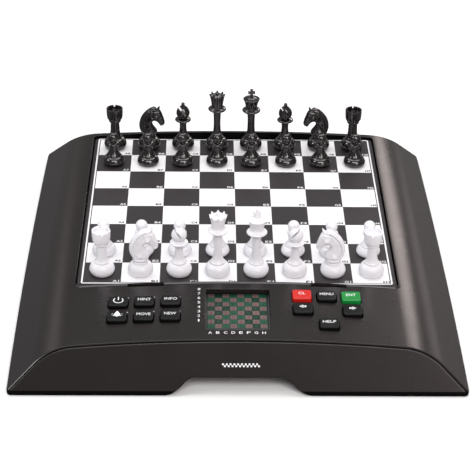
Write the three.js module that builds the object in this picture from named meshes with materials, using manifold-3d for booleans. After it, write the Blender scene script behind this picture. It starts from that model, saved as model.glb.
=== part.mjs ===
// Electronic chess computer: a table-top housing with a pressure-sensing chess board, a liquid
// crystal display, twelve keys and the thirty-two chess pieces.
// Millimetres, +Z up. The origin is on the table, under the middle of the housing; +Y points away
// from the player who sits at the keys, and +X points to that player's right.
import * as THREE from "three";
import { mergeVertices } from "three/addons/utils/BufferGeometryUtils.js";
import Module from "manifold-3d";

const wasm = await Module();
wasm.setup();

// ---- Driving dimensions ----
const SQUARE = 25;
const BOARD_CENTRE_Y = 32.5;
const BOARD_TOP = 27;
const HOUSING_WIDTH = 281.8;
const SIDE_BOW = 1.5;
const HOUSING_DEPTH = 306;
const CROWN_HEIGHT = 31.75;
const CROWN_RADIUS = 1406;
const SHOULDER_RADIUS = 40;
const FLANK_ANGLE = THREE.MathUtils.degToRad(42.6);
const END_ANGLE = THREE.MathUtils.degToRad(62.9);
const BAND_TOP = 3.3;
const BOTTOM_FACE = 0.3;
const WALL = 2.5;
const FIT_GAP = 0.3;
const CORNER_RADIUS = 3;
const SIDE_STEPS = 6;

// ---- Derived levels and outlines ----
const HALF_WIDTH = HOUSING_WIDTH / 2;
const HALF_DEPTH = HOUSING_DEPTH / 2;
const BOARD_HALF = 4 * SQUARE;
const ABOVE_DECK = CROWN_HEIGHT + 5;
const RECESS = {
  side: BOARD_HALF + 4,
  front: BOARD_CENTRE_Y - BOARD_HALF - 5.2,
  rear: BOARD_CENTRE_Y + BOARD_HALF + 1.9,
  corner: 3,
};
const LIP = { height: 0.8, front: 2.2, side: 1.2, rear: 1.2 };
const PANEL_GAP = { side: 1, end: 0.8 };
const MEMBRANE_GAP = 1;
const PANEL_THICKNESS = 2.1;
const MEMBRANE_THICKNESS = 0.5;
const TRAY_FLOOR_TOP = BOARD_TOP - PANEL_THICKNESS - MEMBRANE_THICKNESS - 2 * FIT_GAP;
const TRAY_FLOOR = 1.5;
const TRAY_WALL = 2;
const LIFT_SLOT = { x: 58.5, width: 23, depth: 2.5, wall: 1.5, floor: BOARD_TOP - 1 };

const DISPLAY = {
  width: 40.6,
  rear: -81.5,
  front: -127.6,
  recess: 3.3,
  windowThickness: 1.2,
  windowMargin: 2,
  moduleMargin: 2.5,
};
const DISPLAY_MIDDLE_Y = (DISPLAY.rear + DISPLAY.front) / 2;
const DISPLAY_DEPTH = DISPLAY.rear - DISPLAY.front;

const KEY = { width: 12.4, depth: 11, corner: 1.6, proud: 2.4, gap: 0.35, foot: 24.2, flange: 1, rim: 0.9 };
const LEFT_COLUMNS = [-75, -58.6, -42.1];
const LEFT_ROWS = [-96.5, -113.2];
const RIGHT_COLUMNS = [40.6, 56.2, 71.7];
const RIGHT_ROWS = [-89.7, -105.3, -121];
const LEFT_KEYS = [
  { name: "key_power", x: LEFT_COLUMNS[0], y: LEFT_ROWS[0] },
  { name: "key_hint", x: LEFT_COLUMNS[1], y: LEFT_ROWS[0] },
  { name: "key_info", x: LEFT_COLUMNS[2], y: LEFT_ROWS[0] },
  { name: "key_light", x: LEFT_COLUMNS[0], y: LEFT_ROWS[1] },
  { name: "key_move", x: LEFT_COLUMNS[1], y: LEFT_ROWS[1] },
  { name: "key_new", x: LEFT_COLUMNS[2], y: LEFT_ROWS[1] },
];
const RIGHT_KEYS = [
  { name: "key_clear", x: RIGHT_COLUMNS[0], y: RIGHT_ROWS[0], look: "red" },
  { name: "key_menu", x: RIGHT_COLUMNS[1], y: RIGHT_ROWS[0] },
  { name: "key_enter", x: RIGHT_COLUMNS[2], y: RIGHT_ROWS[0], look: "green" },
  { name: "key_back", x: RIGHT_COLUMNS[0], y: RIGHT_ROWS[1] },
  { name: "key_forward", x: RIGHT_COLUMNS[2], y: RIGHT_ROWS[1] },
  { name: "key_help", x: RIGHT_COLUMNS[1], y: RIGHT_ROWS[2] },
];
const ALL_KEYS = [...LEFT_KEYS, ...RIGHT_KEYS];

const CIRCUIT_BOARD = { half: 92, rear: -79, front: -134, bottom: 19.3, thickness: 1.6 };
const CIRCUIT_POST = { x: 87, rear: -84, front: -129, radius: 3 };
const CIRCUIT_TOP = CIRCUIT_BOARD.bottom + CIRCUIT_BOARD.thickness;
const CONTROLLER = { y: -106, side: 12, height: 1.4 };
const KEYPAD = { margin: 8, sheet: 0.8, domeRadius: 4, domeHeight: 1.5 };

const NOTCH = {
  half: 47.5,
  flat: 26,
  steep: 34,
  ceiling: 10.5,
  toe: 0.2,
  flare: 1,
  depth: 26,
  taper: 4,
  wall: 2,
  below: -2,
  ahead: 6,
};

const BATTERY = { radius: 7.2, length: 50.5, nub: 2.6, nubLength: 1, touch: 0.02, count: 3, y: 5 };
const BAY = {
  halfX: BATTERY.length / 2 + 3,
  halfY: BATTERY.count * BATTERY.radius + 1.2,
  top: 18.2,
  wall: 1.5,
};
const DOOR = { overhang: 3, thickness: 1.5, gap: 0.4 };
const THUMB_GRIP = { width: 16, depth: 3, inset: 4, cut: 0.6 };
const SPEAKER = { x: -95, y: 20, radius: 14, height: 7, ring: 2, ringTop: 6.8 };
const GRILLE = { holeRadius: 1.2, circle: 6 };
const FOOT = { radius: 6, pocket: 1, x: 122, front: -135, rear: 128 };

// ---- Looks: colour, roughness and metalness of each kind of piece ----
const LOOKS = {
  housing: { color: 0x322f30, roughness: 0.42, metalness: 0 },
  base: { color: 0x0c0c0d, roughness: 0.55, metalness: 0 },
  boardPrint: { color: 0xb8b6b8, roughness: 0.35, metalness: 0 },
  film: { color: 0xc9c4a4, roughness: 0.5, metalness: 0 },
  window: { color: 0x8fa39a, roughness: 0.06, metalness: 0 },
  display: { color: 0x2c6b50, roughness: 0.25, metalness: 0 },
  circuit: { color: 0x1d5a2c, roughness: 0.5, metalness: 0 },
  silicone: { color: 0x6f7276, roughness: 0.7, metalness: 0 },
  keyBlack: { color: 0x17171a, roughness: 0.5, metalness: 0 },
  red: { color: 0xd5382b, roughness: 0.45, metalness: 0 },
  green: { color: 0x0f9c4c, roughness: 0.45, metalness: 0 },
  rubber: { color: 0x161616, roughness: 0.85, metalness: 0 },
  cell: { color: 0xb07a2e, roughness: 0.35, metalness: 0.6 },
  speaker: { color: 0x6e7074, roughness: 0.4, metalness: 0.8 },
  white: { color: 0xeceaf0, roughness: 0.25, metalness: 0 },
  black: { color: 0x0d0d0f, roughness: 0.2, metalness: 0 },
};

const part = new THREE.Group();

// ---- Solid helpers ----
function solidOf(geometry) {
  geometry.deleteAttribute("normal");
  geometry.deleteAttribute("uv");
  const merged = mergeVertices(geometry, 1e-4);
  return new wasm.Manifold(
    new wasm.Mesh({
      numProp: 3,
      vertProperties: new Float32Array(merged.attributes.position.array),
      triVerts: new Uint32Array(merged.index.array),
    }),
  );
}

function addNode(name, solid, look) {
  const result = solid.getMesh();
  const geometry = new THREE.BufferGeometry();
  geometry.setAttribute("position", new THREE.BufferAttribute(result.vertProperties, 3));
  geometry.setIndex(new THREE.BufferAttribute(result.triVerts, 1));
  const mesh = new THREE.Mesh(geometry, new THREE.MeshStandardMaterial(LOOKS[look]));
  mesh.name = name;
  part.add(mesh);
  return mesh;
}

function block(x0, x1, y0, y1, z0, z1) {
  const geometry = new THREE.BoxGeometry(x1 - x0, y1 - y0, z1 - z0);
  geometry.translate((x0 + x1) / 2, (y0 + y1) / 2, (z0 + z1) / 2);
  return solidOf(geometry);
}

function centredBlock(x, y, width, depth, z0, z1) {
  return block(x - width / 2, x + width / 2, y - depth / 2, y + depth / 2, z0, z1);
}

// An outline in the XY plane, raised from z0 to z1.
function raised(shape, z0, z1, curveSegments = 4) {
  const geometry = new THREE.ExtrudeGeometry(shape, { depth: z1 - z0, bevelEnabled: false, curveSegments });
  geometry.translate(0, 0, z0);
  return solidOf(geometry);
}

function roundedOutline(x0, x1, y0, y1, radius) {
  const shape = new THREE.Shape();
  shape.absarc(x1 - radius, y0 + radius, radius, -Math.PI / 2, 0);
  shape.absarc(x1 - radius, y1 - radius, radius, 0, Math.PI / 2);
  shape.absarc(x0 + radius, y1 - radius, radius, Math.PI / 2, Math.PI);
  shape.absarc(x0 + radius, y0 + radius, radius, Math.PI, Math.PI * 1.5);
  return shape;
}

function roundedBlock(x, y, width, depth, radius, z0, z1) {
  const outline = roundedOutline(x - width / 2, x + width / 2, y - depth / 2, y + depth / 2, radius);
  return raised(outline, z0, z1, 3);
}

function post(x, y, radius, z0, z1, sides = 12) {
  const geometry = new THREE.CylinderGeometry(radius, radius, z1 - z0, sides);
  geometry.rotateX(Math.PI / 2);
  geometry.translate(x, y, (z0 + z1) / 2);
  return solidOf(geometry);
}

// A turned piece about Z: its profile is a list of [radius, height] that starts and ends on the axis.
function turned(profile, sides = 10) {
  const points = profile.map(([radius, height]) => new THREE.Vector2(radius, height));
  const geometry = new THREE.LatheGeometry(points, sides);
  geometry.rotateX(Math.PI / 2);
  return solidOf(geometry);
}

function union(solids) {
  return solids.reduce((whole, next) => whole.add(next));
}

function cutAll(solid, cutters) {
  return solid.subtract(union(cutters));
}

// ---- Housing form ----
// The cross-section is the same all along Y: a slightly crowned deck, a round shoulder and a
// straight flank on each side. Inset moves the whole outline inwards by a wall's thickness.
const CROWN_CENTRE_Z = CROWN_HEIGHT - CROWN_RADIUS;
const FLANK_NORMAL = new THREE.Vector2(Math.sin(FLANK_ANGLE), Math.cos(FLANK_ANGLE));
const FLANK_UP = new THREE.Vector2(-Math.cos(FLANK_ANGLE), Math.sin(FLANK_ANGLE));

// The shoulder's centre lies a shoulder radius inside the flank and touches the crown from inside.
function shoulderCentre() {
  const start = new THREE.Vector2(HALF_WIDTH, BAND_TOP).addScaledVector(FLANK_NORMAL, -SHOULDER_RADIUS);
  const fromCrown = start.clone().sub(new THREE.Vector2(0, CROWN_CENTRE_Z));
  const along = fromCrown.dot(FLANK_UP);
  const excess = fromCrown.lengthSq() - (CROWN_RADIUS - SHOULDER_RADIUS) ** 2;
  return start.addScaledVector(FLANK_UP, -along + Math.sqrt(along * along - excess));
}

function deckHeight(x) {
  return CROWN_CENTRE_Z + Math.sqrt(CROWN_RADIUS * CROWN_RADIUS - x * x);
}

function sectionOutline(inset) {
  const centre = shoulderCentre();
  const crownEdge = Math.atan2(centre.y - CROWN_CENTRE_Z, centre.x);
  const flankTurn = Math.PI / 2 - FLANK_ANGLE;
  const flankBottom = HALF_WIDTH - inset / Math.sin(FLANK_ANGLE);
  const shape = new THREE.Shape();
  shape.moveTo(-flankBottom, BAND_TOP);
  shape.lineTo(flankBottom, BAND_TOP);
  shape.absarc(centre.x, centre.y, SHOULDER_RADIUS - inset, flankTurn, crownEdge);
  shape.absarc(0, CROWN_CENTRE_Z, CROWN_RADIUS - inset, crownEdge, Math.PI - crownEdge);
  shape.absarc(-centre.x, centre.y, SHOULDER_RADIUS - inset, Math.PI - crownEdge, Math.PI - flankTurn);
  return shape;
}

// The front and rear are flat faces that lean inwards by the same angle.
function endWedge(inset) {
  const lean = (height) => (height - BAND_TOP) / Math.tan(END_ANGLE) + inset / Math.sin(END_ANGLE);
  const shape = new THREE.Shape();
  shape.moveTo(-HALF_DEPTH + lean(0), 0);
  shape.lineTo(HALF_DEPTH - lean(0), 0);
  shape.lineTo(HALF_DEPTH - lean(ABOVE_DECK), ABOVE_DECK);
  shape.lineTo(-HALF_DEPTH + lean(ABOVE_DECK), ABOVE_DECK);
  const geometry = new THREE.ExtrudeGeometry(shape, { depth: HOUSING_WIDTH + 4 * SIDE_BOW, bevelEnabled: false });
  const turn = new THREE.Matrix4().makeBasis(
    new THREE.Vector3(0, 1, 0),
    new THREE.Vector3(0, 0, 1),
    new THREE.Vector3(1, 0, 0),
  );
  geometry.applyMatrix4(turn);
  geometry.translate(-HALF_WIDTH - 2 * SIDE_BOW, 0, 0);
  return solidOf(geometry);
}

// How far the sides bow outwards at a place along Y.
function sideBow(y) {
  return SIDE_BOW * (1 - (y / HALF_DEPTH) ** 2);
}

// The cross-section drawn out along Y, widened by the bow of the sides.
function bowedLength(inset) {
  const settings = { depth: HOUSING_DEPTH, bevelEnabled: false, curveSegments: 8, steps: SIDE_STEPS };
  const geometry = new THREE.ExtrudeGeometry(sectionOutline(inset), settings);
  geometry.rotateX(Math.PI / 2);
  geometry.translate(0, HALF_DEPTH, 0);
  const position = geometry.attributes.position;
  for (let i = 0; i < position.count; i += 1) {
    position.setX(i, position.getX(i) * (1 + sideBow(position.getY(i)) / HALF_WIDTH));
  }
  return solidOf(geometry);
}

function housingBody(inset) {
  return bowedLength(inset).intersect(endWedge(inset));
}

// The footprint has round corners and bowed sides.
function footprint(z0, z1) {
  const end = HALF_DEPTH - CORNER_RADIUS;
  const shape = new THREE.Shape();
  for (const side of [1, -1]) {
    const cornerX = side * (HALF_WIDTH - CORNER_RADIUS);
    const turn = side > 0 ? -Math.PI / 2 : Math.PI / 2;
    shape.absarc(cornerX, -side * end, CORNER_RADIUS, turn, turn + Math.PI / 2);
    for (let i = 1; i < SIDE_STEPS; i += 1) {
      const y = side * end * ((2 * i) / SIDE_STEPS - 1);
      shape.lineTo(side * (HALF_WIDTH + sideBow(y)), y);
    }
    shape.absarc(cornerX, side * end, CORNER_RADIUS, turn + Math.PI / 2, turn + Math.PI);
  }
  return raised(shape, z0, z1, 3);
}

// The finger notch under the front face: a flat ceiling with an S-shaped flank on each side,
// narrowing towards the back. Grow thickens it all round, to make the wall that lines it.
function notchOutline(grow) {
  const half = NOTCH.half + grow;
  const flat = NOTCH.flat + grow;
  const steep = NOTCH.steep + grow;
  const ceiling = NOTCH.ceiling + grow;
  const toe = NOTCH.toe + grow;
  const shape = new THREE.Shape();
  shape.moveTo(-half, NOTCH.below);
  shape.lineTo(half, NOTCH.below);
  shape.lineTo(half, toe);
  shape.bezierCurveTo(steep, toe + NOTCH.flare, steep, ceiling, flat, ceiling);
  shape.lineTo(-flat, ceiling);
  shape.bezierCurveTo(-steep, ceiling, -steep, toe + NOTCH.flare, -half, toe);
  return shape;
}

function notchSolid(grow) {
  const rear = -HALF_DEPTH + NOTCH.depth + grow;
  const settings = { depth: rear + HALF_DEPTH + NOTCH.ahead, bevelEnabled: false, curveSegments: 6 };
  const geometry = new THREE.ExtrudeGeometry(notchOutline(grow), settings);
  geometry.rotateX(Math.PI / 2);
  geometry.translate(0, rear, 0);
  const position = geometry.attributes.position;
  const narrowed = 1 - NOTCH.taper / NOTCH.half;
  for (let i = 0; i < position.count; i += 1) {
    if (position.getY(i) > rear - 1) {
      position.setX(i, position.getX(i) * narrowed);
    }
  }
  return solidOf(geometry);
}

// ---- Housing shells ----
function keyHole(key) {
  const clear = 2 * KEY.gap;
  return centredBlock(key.x, key.y, KEY.width + clear, KEY.depth + clear, KEY.foot, ABOVE_DECK);
}

function circuitPosts(z0, z1) {
  const posts = [];
  for (const x of [-CIRCUIT_POST.x, CIRCUIT_POST.x]) {
    for (const y of [CIRCUIT_POST.front, CIRCUIT_POST.rear]) {
      posts.push(post(x, y, CIRCUIT_POST.radius, z0, z1));
    }
  }
  return union(posts);
}

// The raised rim round the board follows the crown of the deck.
function boardLip() {
  const x = RECESS.side + LIP.side;
  const front = RECESS.front - LIP.front;
  const rear = RECESS.rear + LIP.rear;
  const outline = roundedOutline(-x, x, front, rear, RECESS.corner + LIP.side);
  return housingBody(-LIP.height).intersect(raised(outline, BOARD_TOP - 1, ABOVE_DECK));
}

function buildTopShell() {
  const outer = housingBody(0).intersect(footprint(BAND_TOP + FIT_GAP, ABOVE_DECK));
  const hollow = housingBody(WALL);
  const tray = block(
    -RECESS.side - TRAY_WALL,
    RECESS.side + TRAY_WALL,
    RECESS.front - LIFT_SLOT.wall - LIFT_SLOT.depth - TRAY_WALL,
    RECESS.rear + TRAY_WALL,
    TRAY_FLOOR_TOP - TRAY_FLOOR,
    CROWN_HEIGHT,
  );
  const displayCollar = centredBlock(
    0,
    DISPLAY_MIDDLE_Y,
    DISPLAY.width + 2 * WALL,
    DISPLAY_DEPTH + 2 * WALL,
    CROWN_HEIGHT - DISPLAY.recess,
    CROWN_HEIGHT,
  );
  const posts = circuitPosts(CIRCUIT_TOP + FIT_GAP, CROWN_HEIGHT);
  const inner = union([tray, displayCollar, posts, notchSolid(NOTCH.wall)]).intersect(outer);
  const shell = union([outer.subtract(hollow), inner, boardLip()]);
  const recess = raised(
    roundedOutline(-RECESS.side, RECESS.side, RECESS.front, RECESS.rear, RECESS.corner),
    TRAY_FLOOR_TOP,
    ABOVE_DECK,
  );
  const display = centredBlock(0, DISPLAY_MIDDLE_Y, DISPLAY.width, DISPLAY_DEPTH, CIRCUIT_TOP, ABOVE_DECK);
  const liftSlots = [-1, 1].map((side) =>
    centredBlock(
      side * LIFT_SLOT.x,
      RECESS.front - LIFT_SLOT.wall - LIFT_SLOT.depth / 2,
      LIFT_SLOT.width,
      LIFT_SLOT.depth,
      LIFT_SLOT.floor,
      ABOVE_DECK,
    ),
  );
  return cutAll(shell, [recess, display, notchSolid(0), ...liftSlots, ...ALL_KEYS.map(keyHole)]);
}

function batteryBay() {
  const { halfX, halfY, top, wall } = BAY;
  const outside = centredBlock(0, BATTERY.y, 2 * (halfX + wall), 2 * (halfY + wall), BOTTOM_FACE, top + wall);
  const inside = centredBlock(0, BATTERY.y, 2 * halfX, 2 * halfY, 0, top);
  const ledge = centredBlock(
    0,
    BATTERY.y,
    2 * (halfX + DOOR.overhang + DOOR.gap),
    2 * (halfY + DOOR.overhang + DOOR.gap),
    0,
    BOTTOM_FACE + DOOR.thickness + FIT_GAP,
  );
  const ledgeOutside = centredBlock(
    0,
    BATTERY.y,
    2 * (halfX + DOOR.overhang + DOOR.gap + wall),
    2 * (halfY + DOOR.overhang + DOOR.gap + wall),
    BOTTOM_FACE,
    BOTTOM_FACE + DOOR.thickness + FIT_GAP + wall,
  );
  return { outside: outside.add(ledgeOutside), inside: inside.add(ledge) };
}

const FOOT_PLACES = [
  { name: "foot_front_left", x: -FOOT.x, y: FOOT.front },
  { name: "foot_front_right", x: FOOT.x, y: FOOT.front },
  { name: "foot_rear_left", x: -FOOT.x, y: FOOT.rear },
  { name: "foot_rear_right", x: FOOT.x, y: FOOT.rear },
];

function speakerHoles() {
  const { x, y } = SPEAKER;
  const { holeRadius, circle } = GRILLE;
  const holes = [post(x, y, holeRadius, 0, BAND_TOP + FIT_GAP, 6)];
  for (let i = 0; i < 6; i += 1) {
    const turn = (i * Math.PI) / 3;
    const holeX = x + circle * Math.cos(turn);
    const holeY = y + circle * Math.sin(turn);
    holes.push(post(holeX, holeY, holeRadius, 0, BAND_TOP + FIT_GAP, 6));
  }
  return holes;
}

function buildBottomShell() {
  const bay = batteryBay();
  const { x: speakerX, y: speakerY, radius, ring, ringTop } = SPEAKER;
  const ringOutside = post(speakerX, speakerY, radius + ring, BOTTOM_FACE, ringTop, 20);
  const ringInside = post(speakerX, speakerY, radius + FIT_GAP, BAND_TOP, ABOVE_DECK, 20);
  const speakerRing = ringOutside.subtract(ringInside);
  const plate = footprint(BOTTOM_FACE, BAND_TOP);
  const pockets = FOOT_PLACES.map(({ x, y }) =>
    post(x, y, FOOT.radius + FIT_GAP, 0, BOTTOM_FACE + FOOT.pocket, 16),
  );
  return cutAll(union([plate, bay.outside, speakerRing]), [
    bay.inside,
    notchSolid(0),
    ...pockets,
    ...speakerHoles(),
  ]);
}

function buildBatteryDoor() {
  const halfX = BAY.halfX + DOOR.overhang;
  const halfY = BAY.halfY + DOOR.overhang;
  const plate = centredBlock(0, BATTERY.y, 2 * halfX, 2 * halfY, BOTTOM_FACE, BOTTOM_FACE + DOOR.thickness);
  const { width, depth, inset, cut } = THUMB_GRIP;
  return plate.subtract(centredBlock(0, BATTERY.y - halfY + inset, width, depth, 0, BOTTOM_FACE + cut));
}

// The cylindrical cells lie side by side in the bay, turned end for end, and touch each other.
function buildBatteryCells() {
  const { radius, length, nub, nubLength, touch, count } = BATTERY;
  const cells = [];
  for (let i = 0; i < count; i += 1) {
    const bodyLength = length - nubLength;
    const body = new THREE.CylinderGeometry(radius + touch, radius + touch, bodyLength, 16);
    const button = new THREE.CylinderGeometry(nub, nub, length, 8);
    const side = i % 2 === 0 ? 1 : -1;
    button.translate(0, (side * nubLength) / 2, 0);
    for (const geometry of [body, button]) {
      geometry.rotateZ(Math.PI / 2);
      geometry.translate(0, BATTERY.y + (i - (count - 1) / 2) * 2 * radius, BAY.top - radius - 2 * FIT_GAP);
      cells.push(solidOf(geometry));
    }
  }
  return union(cells);
}

function buildSpeaker() {
  const bottom = BAND_TOP + FIT_GAP;
  return post(SPEAKER.x, SPEAKER.y, SPEAKER.radius, bottom, bottom + SPEAKER.height, 20);
}

// ---- Board, display and electronics ----
function buildBoardPanel() {
  const side = RECESS.side - PANEL_GAP.side;
  const front = RECESS.front + PANEL_GAP.end;
  const rear = RECESS.rear - PANEL_GAP.end;
  const outline = roundedOutline(-side, side, front, rear, RECESS.corner - PANEL_GAP.side);
  return raised(outline, BOARD_TOP - PANEL_THICKNESS, BOARD_TOP);
}

function buildSensorMembrane() {
  const z0 = TRAY_FLOOR_TOP + FIT_GAP;
  const side = RECESS.side - MEMBRANE_GAP;
  const front = RECESS.front + MEMBRANE_GAP;
  const rear = RECESS.rear - MEMBRANE_GAP;
  const outline = roundedOutline(-side, side, front, rear, RECESS.corner - MEMBRANE_GAP);
  return raised(outline, z0, z0 + MEMBRANE_THICKNESS);
}

// The clear window closes the display's opening from inside, and the display module lies under it.
function buildDisplayWindow() {
  const top = CROWN_HEIGHT - DISPLAY.recess - FIT_GAP;
  const margin = 2 * DISPLAY.windowMargin;
  const bottom = top - DISPLAY.windowThickness;
  return centredBlock(0, DISPLAY_MIDDLE_Y, DISPLAY.width + margin, DISPLAY_DEPTH + margin, bottom, top);
}

function buildDisplayModule() {
  const bottom = CIRCUIT_TOP + FIT_GAP;
  const top = CROWN_HEIGHT - DISPLAY.recess - DISPLAY.windowThickness - 2 * FIT_GAP;
  const margin = 2 * DISPLAY.moduleMargin;
  return centredBlock(0, DISPLAY_MIDDLE_Y, DISPLAY.width + margin, DISPLAY_DEPTH + margin, bottom, top);
}

function buildCircuitBoard() {
  const { half, rear, front, bottom } = CIRCUIT_BOARD;
  const board = block(-half, half, front, rear, bottom, CIRCUIT_TOP);
  const { y, side, height } = CONTROLLER;
  return board.add(centredBlock(0, y, side, side, bottom - height, CIRCUIT_TOP));
}

function buildKeypad(keys) {
  const xs = keys.map((key) => key.x);
  const ys = keys.map((key) => key.y);
  const { margin, sheet, domeRadius, domeHeight } = KEYPAD;
  const z0 = CIRCUIT_TOP + FIT_GAP;
  const base = block(
    Math.min(...xs) - margin,
    Math.max(...xs) + margin,
    Math.min(...ys) - margin,
    Math.max(...ys) + margin,
    z0,
    z0 + sheet,
  );
  return union([base, ...keys.map((key) => post(key.x, key.y, domeRadius, z0, z0 + domeHeight, 10))]);
}

function buildKey(key) {
  const top = deckHeight(key.x) + KEY.proud;
  const cap = roundedBlock(key.x, key.y, KEY.width, KEY.depth, KEY.corner, KEY.foot, top);
  const flange = centredBlock(
    key.x,
    key.y,
    KEY.width + 2 * KEY.rim,
    KEY.depth + 2 * KEY.rim,
    KEY.foot,
    KEY.foot + KEY.flange,
  );
  return cap.add(flange);
}

// ---- Chess pieces: turned profiles in millimetres, base at height 0 ----
const FOOT_RADIUS = 8.2;
const KNIGHT_HEAD = { thickness: 6, bevel: 1.6 };

// The bulb, ring and cone that every officer stands on, up to its stem.
function footProfile(stem) {
  return [
    [0, 0],
    [0.79 * FOOT_RADIUS, 0],
    [FOOT_RADIUS, 2.6],
    [FOOT_RADIUS, 4.6],
    [0.83 * FOOT_RADIUS, 7.2],
    [5.2, 8],
    [5.1, 9.2],
    [stem + 0.8, 11],
    [stem, 14],
  ];
}

function buildPawn() {
  return turned(
    [
      [0, 0],
      [6.2, 0],
      [7.9, 2.4],
      [7.3, 4.8],
      [5.3, 6.6],
      [5.1, 8],
      [2.7, 14.4],
      [4.4, 15.4],
      [4.4, 16.8],
      [2.5, 17.7],
      [3.9, 20],
      [3.6, 23],
      [0, 24.9],
    ],
    8,
  );
}

function buildRook() {
  const top = 31.9;
  const tower = turned([
    ...footProfile(3.3),
    [3.2, 21],
    [4.4, 21.8],
    [4.4, 23.4],
    [5.1, 24],
    [6, top],
    [0, top],
  ]);
  const well = post(0, 0, 4.5, top - 3, top + 2, 10);
  const gaps = [0, 1].map((i) => {
    const geometry = new THREE.BoxGeometry(20, 1.3, 4);
    geometry.rotateZ((i * Math.PI) / 2);
    geometry.translate(0, 0, top);
    return solidOf(geometry);
  });
  return cutAll(tower, [well, ...gaps]);
}

function buildBishop() {
  const body = turned([
    ...footProfile(2.9),
    [2.6, 21.8],
    [5.8, 22.7],
    [5.8, 23.9],
    [3, 25],
    [4.9, 27.8],
    [4.8, 30.2],
    [1.6, 34],
    [1.2, 36.4],
    [0, 37],
  ]);
  const slot = new THREE.BoxGeometry(5, 12, 1);
  slot.rotateY(0.9);
  slot.translate(-3.4, 0, 30.2);
  return body.subtract(solidOf(slot));
}

// The knight's head is a flat silhouette with bevelled edges, facing +X.
function buildKnight() {
  const foot = turned([...footProfile(5).slice(0, 6), [3.7, 9.4], [3.7, 10.2], [5, 11.2], [5, 12], [0, 12]]);
  const head = new THREE.Shape();
  head.moveTo(-4.9, 11.5);
  head.quadraticCurveTo(-8.2, 17, -6.6, 22);
  head.quadraticCurveTo(-4, 29.8, 3.6, 33.2);
  head.lineTo(6.8, 31.6);
  head.lineTo(8, 33.5);
  head.lineTo(8.8, 30);
  head.lineTo(11.4, 22);
  head.lineTo(11.2, 19.4);
  head.lineTo(8.6, 17.9);
  head.quadraticCurveTo(7, 22, 3.3, 22);
  head.quadraticCurveTo(2, 19.6, 5.9, 14.8);
  head.lineTo(4.9, 11.5);
  const geometry = new THREE.ExtrudeGeometry(head, {
    depth: KNIGHT_HEAD.thickness - 2 * KNIGHT_HEAD.bevel,
    bevelThickness: KNIGHT_HEAD.bevel,
    bevelSize: 0.8,
    bevelOffset: -0.8,
    bevelSegments: 1,
    curveSegments: 4,
  });
  geometry.rotateX(Math.PI / 2);
  geometry.translate(0, KNIGHT_HEAD.thickness / 2 - KNIGHT_HEAD.bevel, 0);
  return foot.add(solidOf(geometry));
}

function buildQueen() {
  return turned([
    ...footProfile(2.9),
    [2.7, 30],
    [6.5, 31.3],
    [6.5, 32.7],
    [4.2, 33.8],
    [4.3, 37],
    [5.7, 43.8],
    [3.4, 42.8],
    [1.3, 43],
    [1.5, 44.6],
    [0, 45.4],
  ]);
}

function buildKing() {
  const body = turned([
    ...footProfile(2.9),
    [2.7, 29.4],
    [6.6, 30.6],
    [6.6, 31.9],
    [4.4, 33],
    [4.6, 36],
    [6, 40],
    [2.8, 41.4],
    [1.3, 42.8],
    [0, 43],
  ]);
  const upright = centredBlock(0, 0, 2, 1.8, 42, 47.8);
  const arms = centredBlock(0, 0, 5.2, 1.8, 44.3, 46.3);
  return union([body, upright, arms]);
}

const BACK_RANK = ["rook", "knight", "bishop", "queen", "king", "bishop", "knight", "rook"];
const PIECES = {
  pawn: buildPawn(),
  rook: buildRook(),
  knight: buildKnight(),
  bishop: buildBishop(),
  queen: buildQueen(),
  king: buildKing(),
};
const STANDING_GAP = 0.1;

// File and rank both count from 0, at a1. The knight on the king's side looks to the left.
function standPiece(colour, kind, file, rank) {
  const square = "abcdefgh"[file] + (rank + 1);
  const mesh = addNode(`${colour}_${kind}_${square}`, PIECES[kind], colour);
  mesh.position.set((file - 3.5) * SQUARE, BOARD_CENTRE_Y + (rank - 3.5) * SQUARE, BOARD_TOP + STANDING_GAP);
  mesh.rotation.z = kind === "knight" && file > 3 ? Math.PI : 0;
}

// ---- Assembly ----
addNode("top_shell", buildTopShell(), "housing");
addNode("bottom_shell", buildBottomShell(), "base");
addNode("board_panel", buildBoardPanel(), "boardPrint");
addNode("sensor_membrane", buildSensorMembrane(), "film");
addNode("display_window", buildDisplayWindow(), "window");
addNode("display_module", buildDisplayModule(), "display");
addNode("main_circuit_board", buildCircuitBoard(), "circuit");
addNode("keypad_left", buildKeypad(LEFT_KEYS), "silicone");
addNode("keypad_right", buildKeypad(RIGHT_KEYS), "silicone");
addNode("battery_door", buildBatteryDoor(), "base");
addNode("battery_cells", buildBatteryCells(), "cell");
addNode("speaker", buildSpeaker(), "speaker");
for (const { name, x, y } of FOOT_PLACES) {
  addNode(name, post(x, y, FOOT.radius, 0, BOTTOM_FACE + FOOT.pocket - FIT_GAP, 16), "rubber");
}
for (const key of ALL_KEYS) {
  addNode(key.name, buildKey(key), key.look ?? "keyBlack");
}
for (let file = 0; file < 8; file += 1) {
  standPiece("white", BACK_RANK[file], file, 0);
  standPiece("white", "pawn", file, 1);
  standPiece("black", "pawn", file, 6);
  standPiece("black", BACK_RANK[file], file, 7);
}

export default part;
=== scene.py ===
"""Electronic chess computer: its looks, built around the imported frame. Sizes here are in millimetres."""

import math

import bmesh
import bpy
import numpy as np
from mathutils import Euler, Matrix, Vector, geometry


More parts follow.
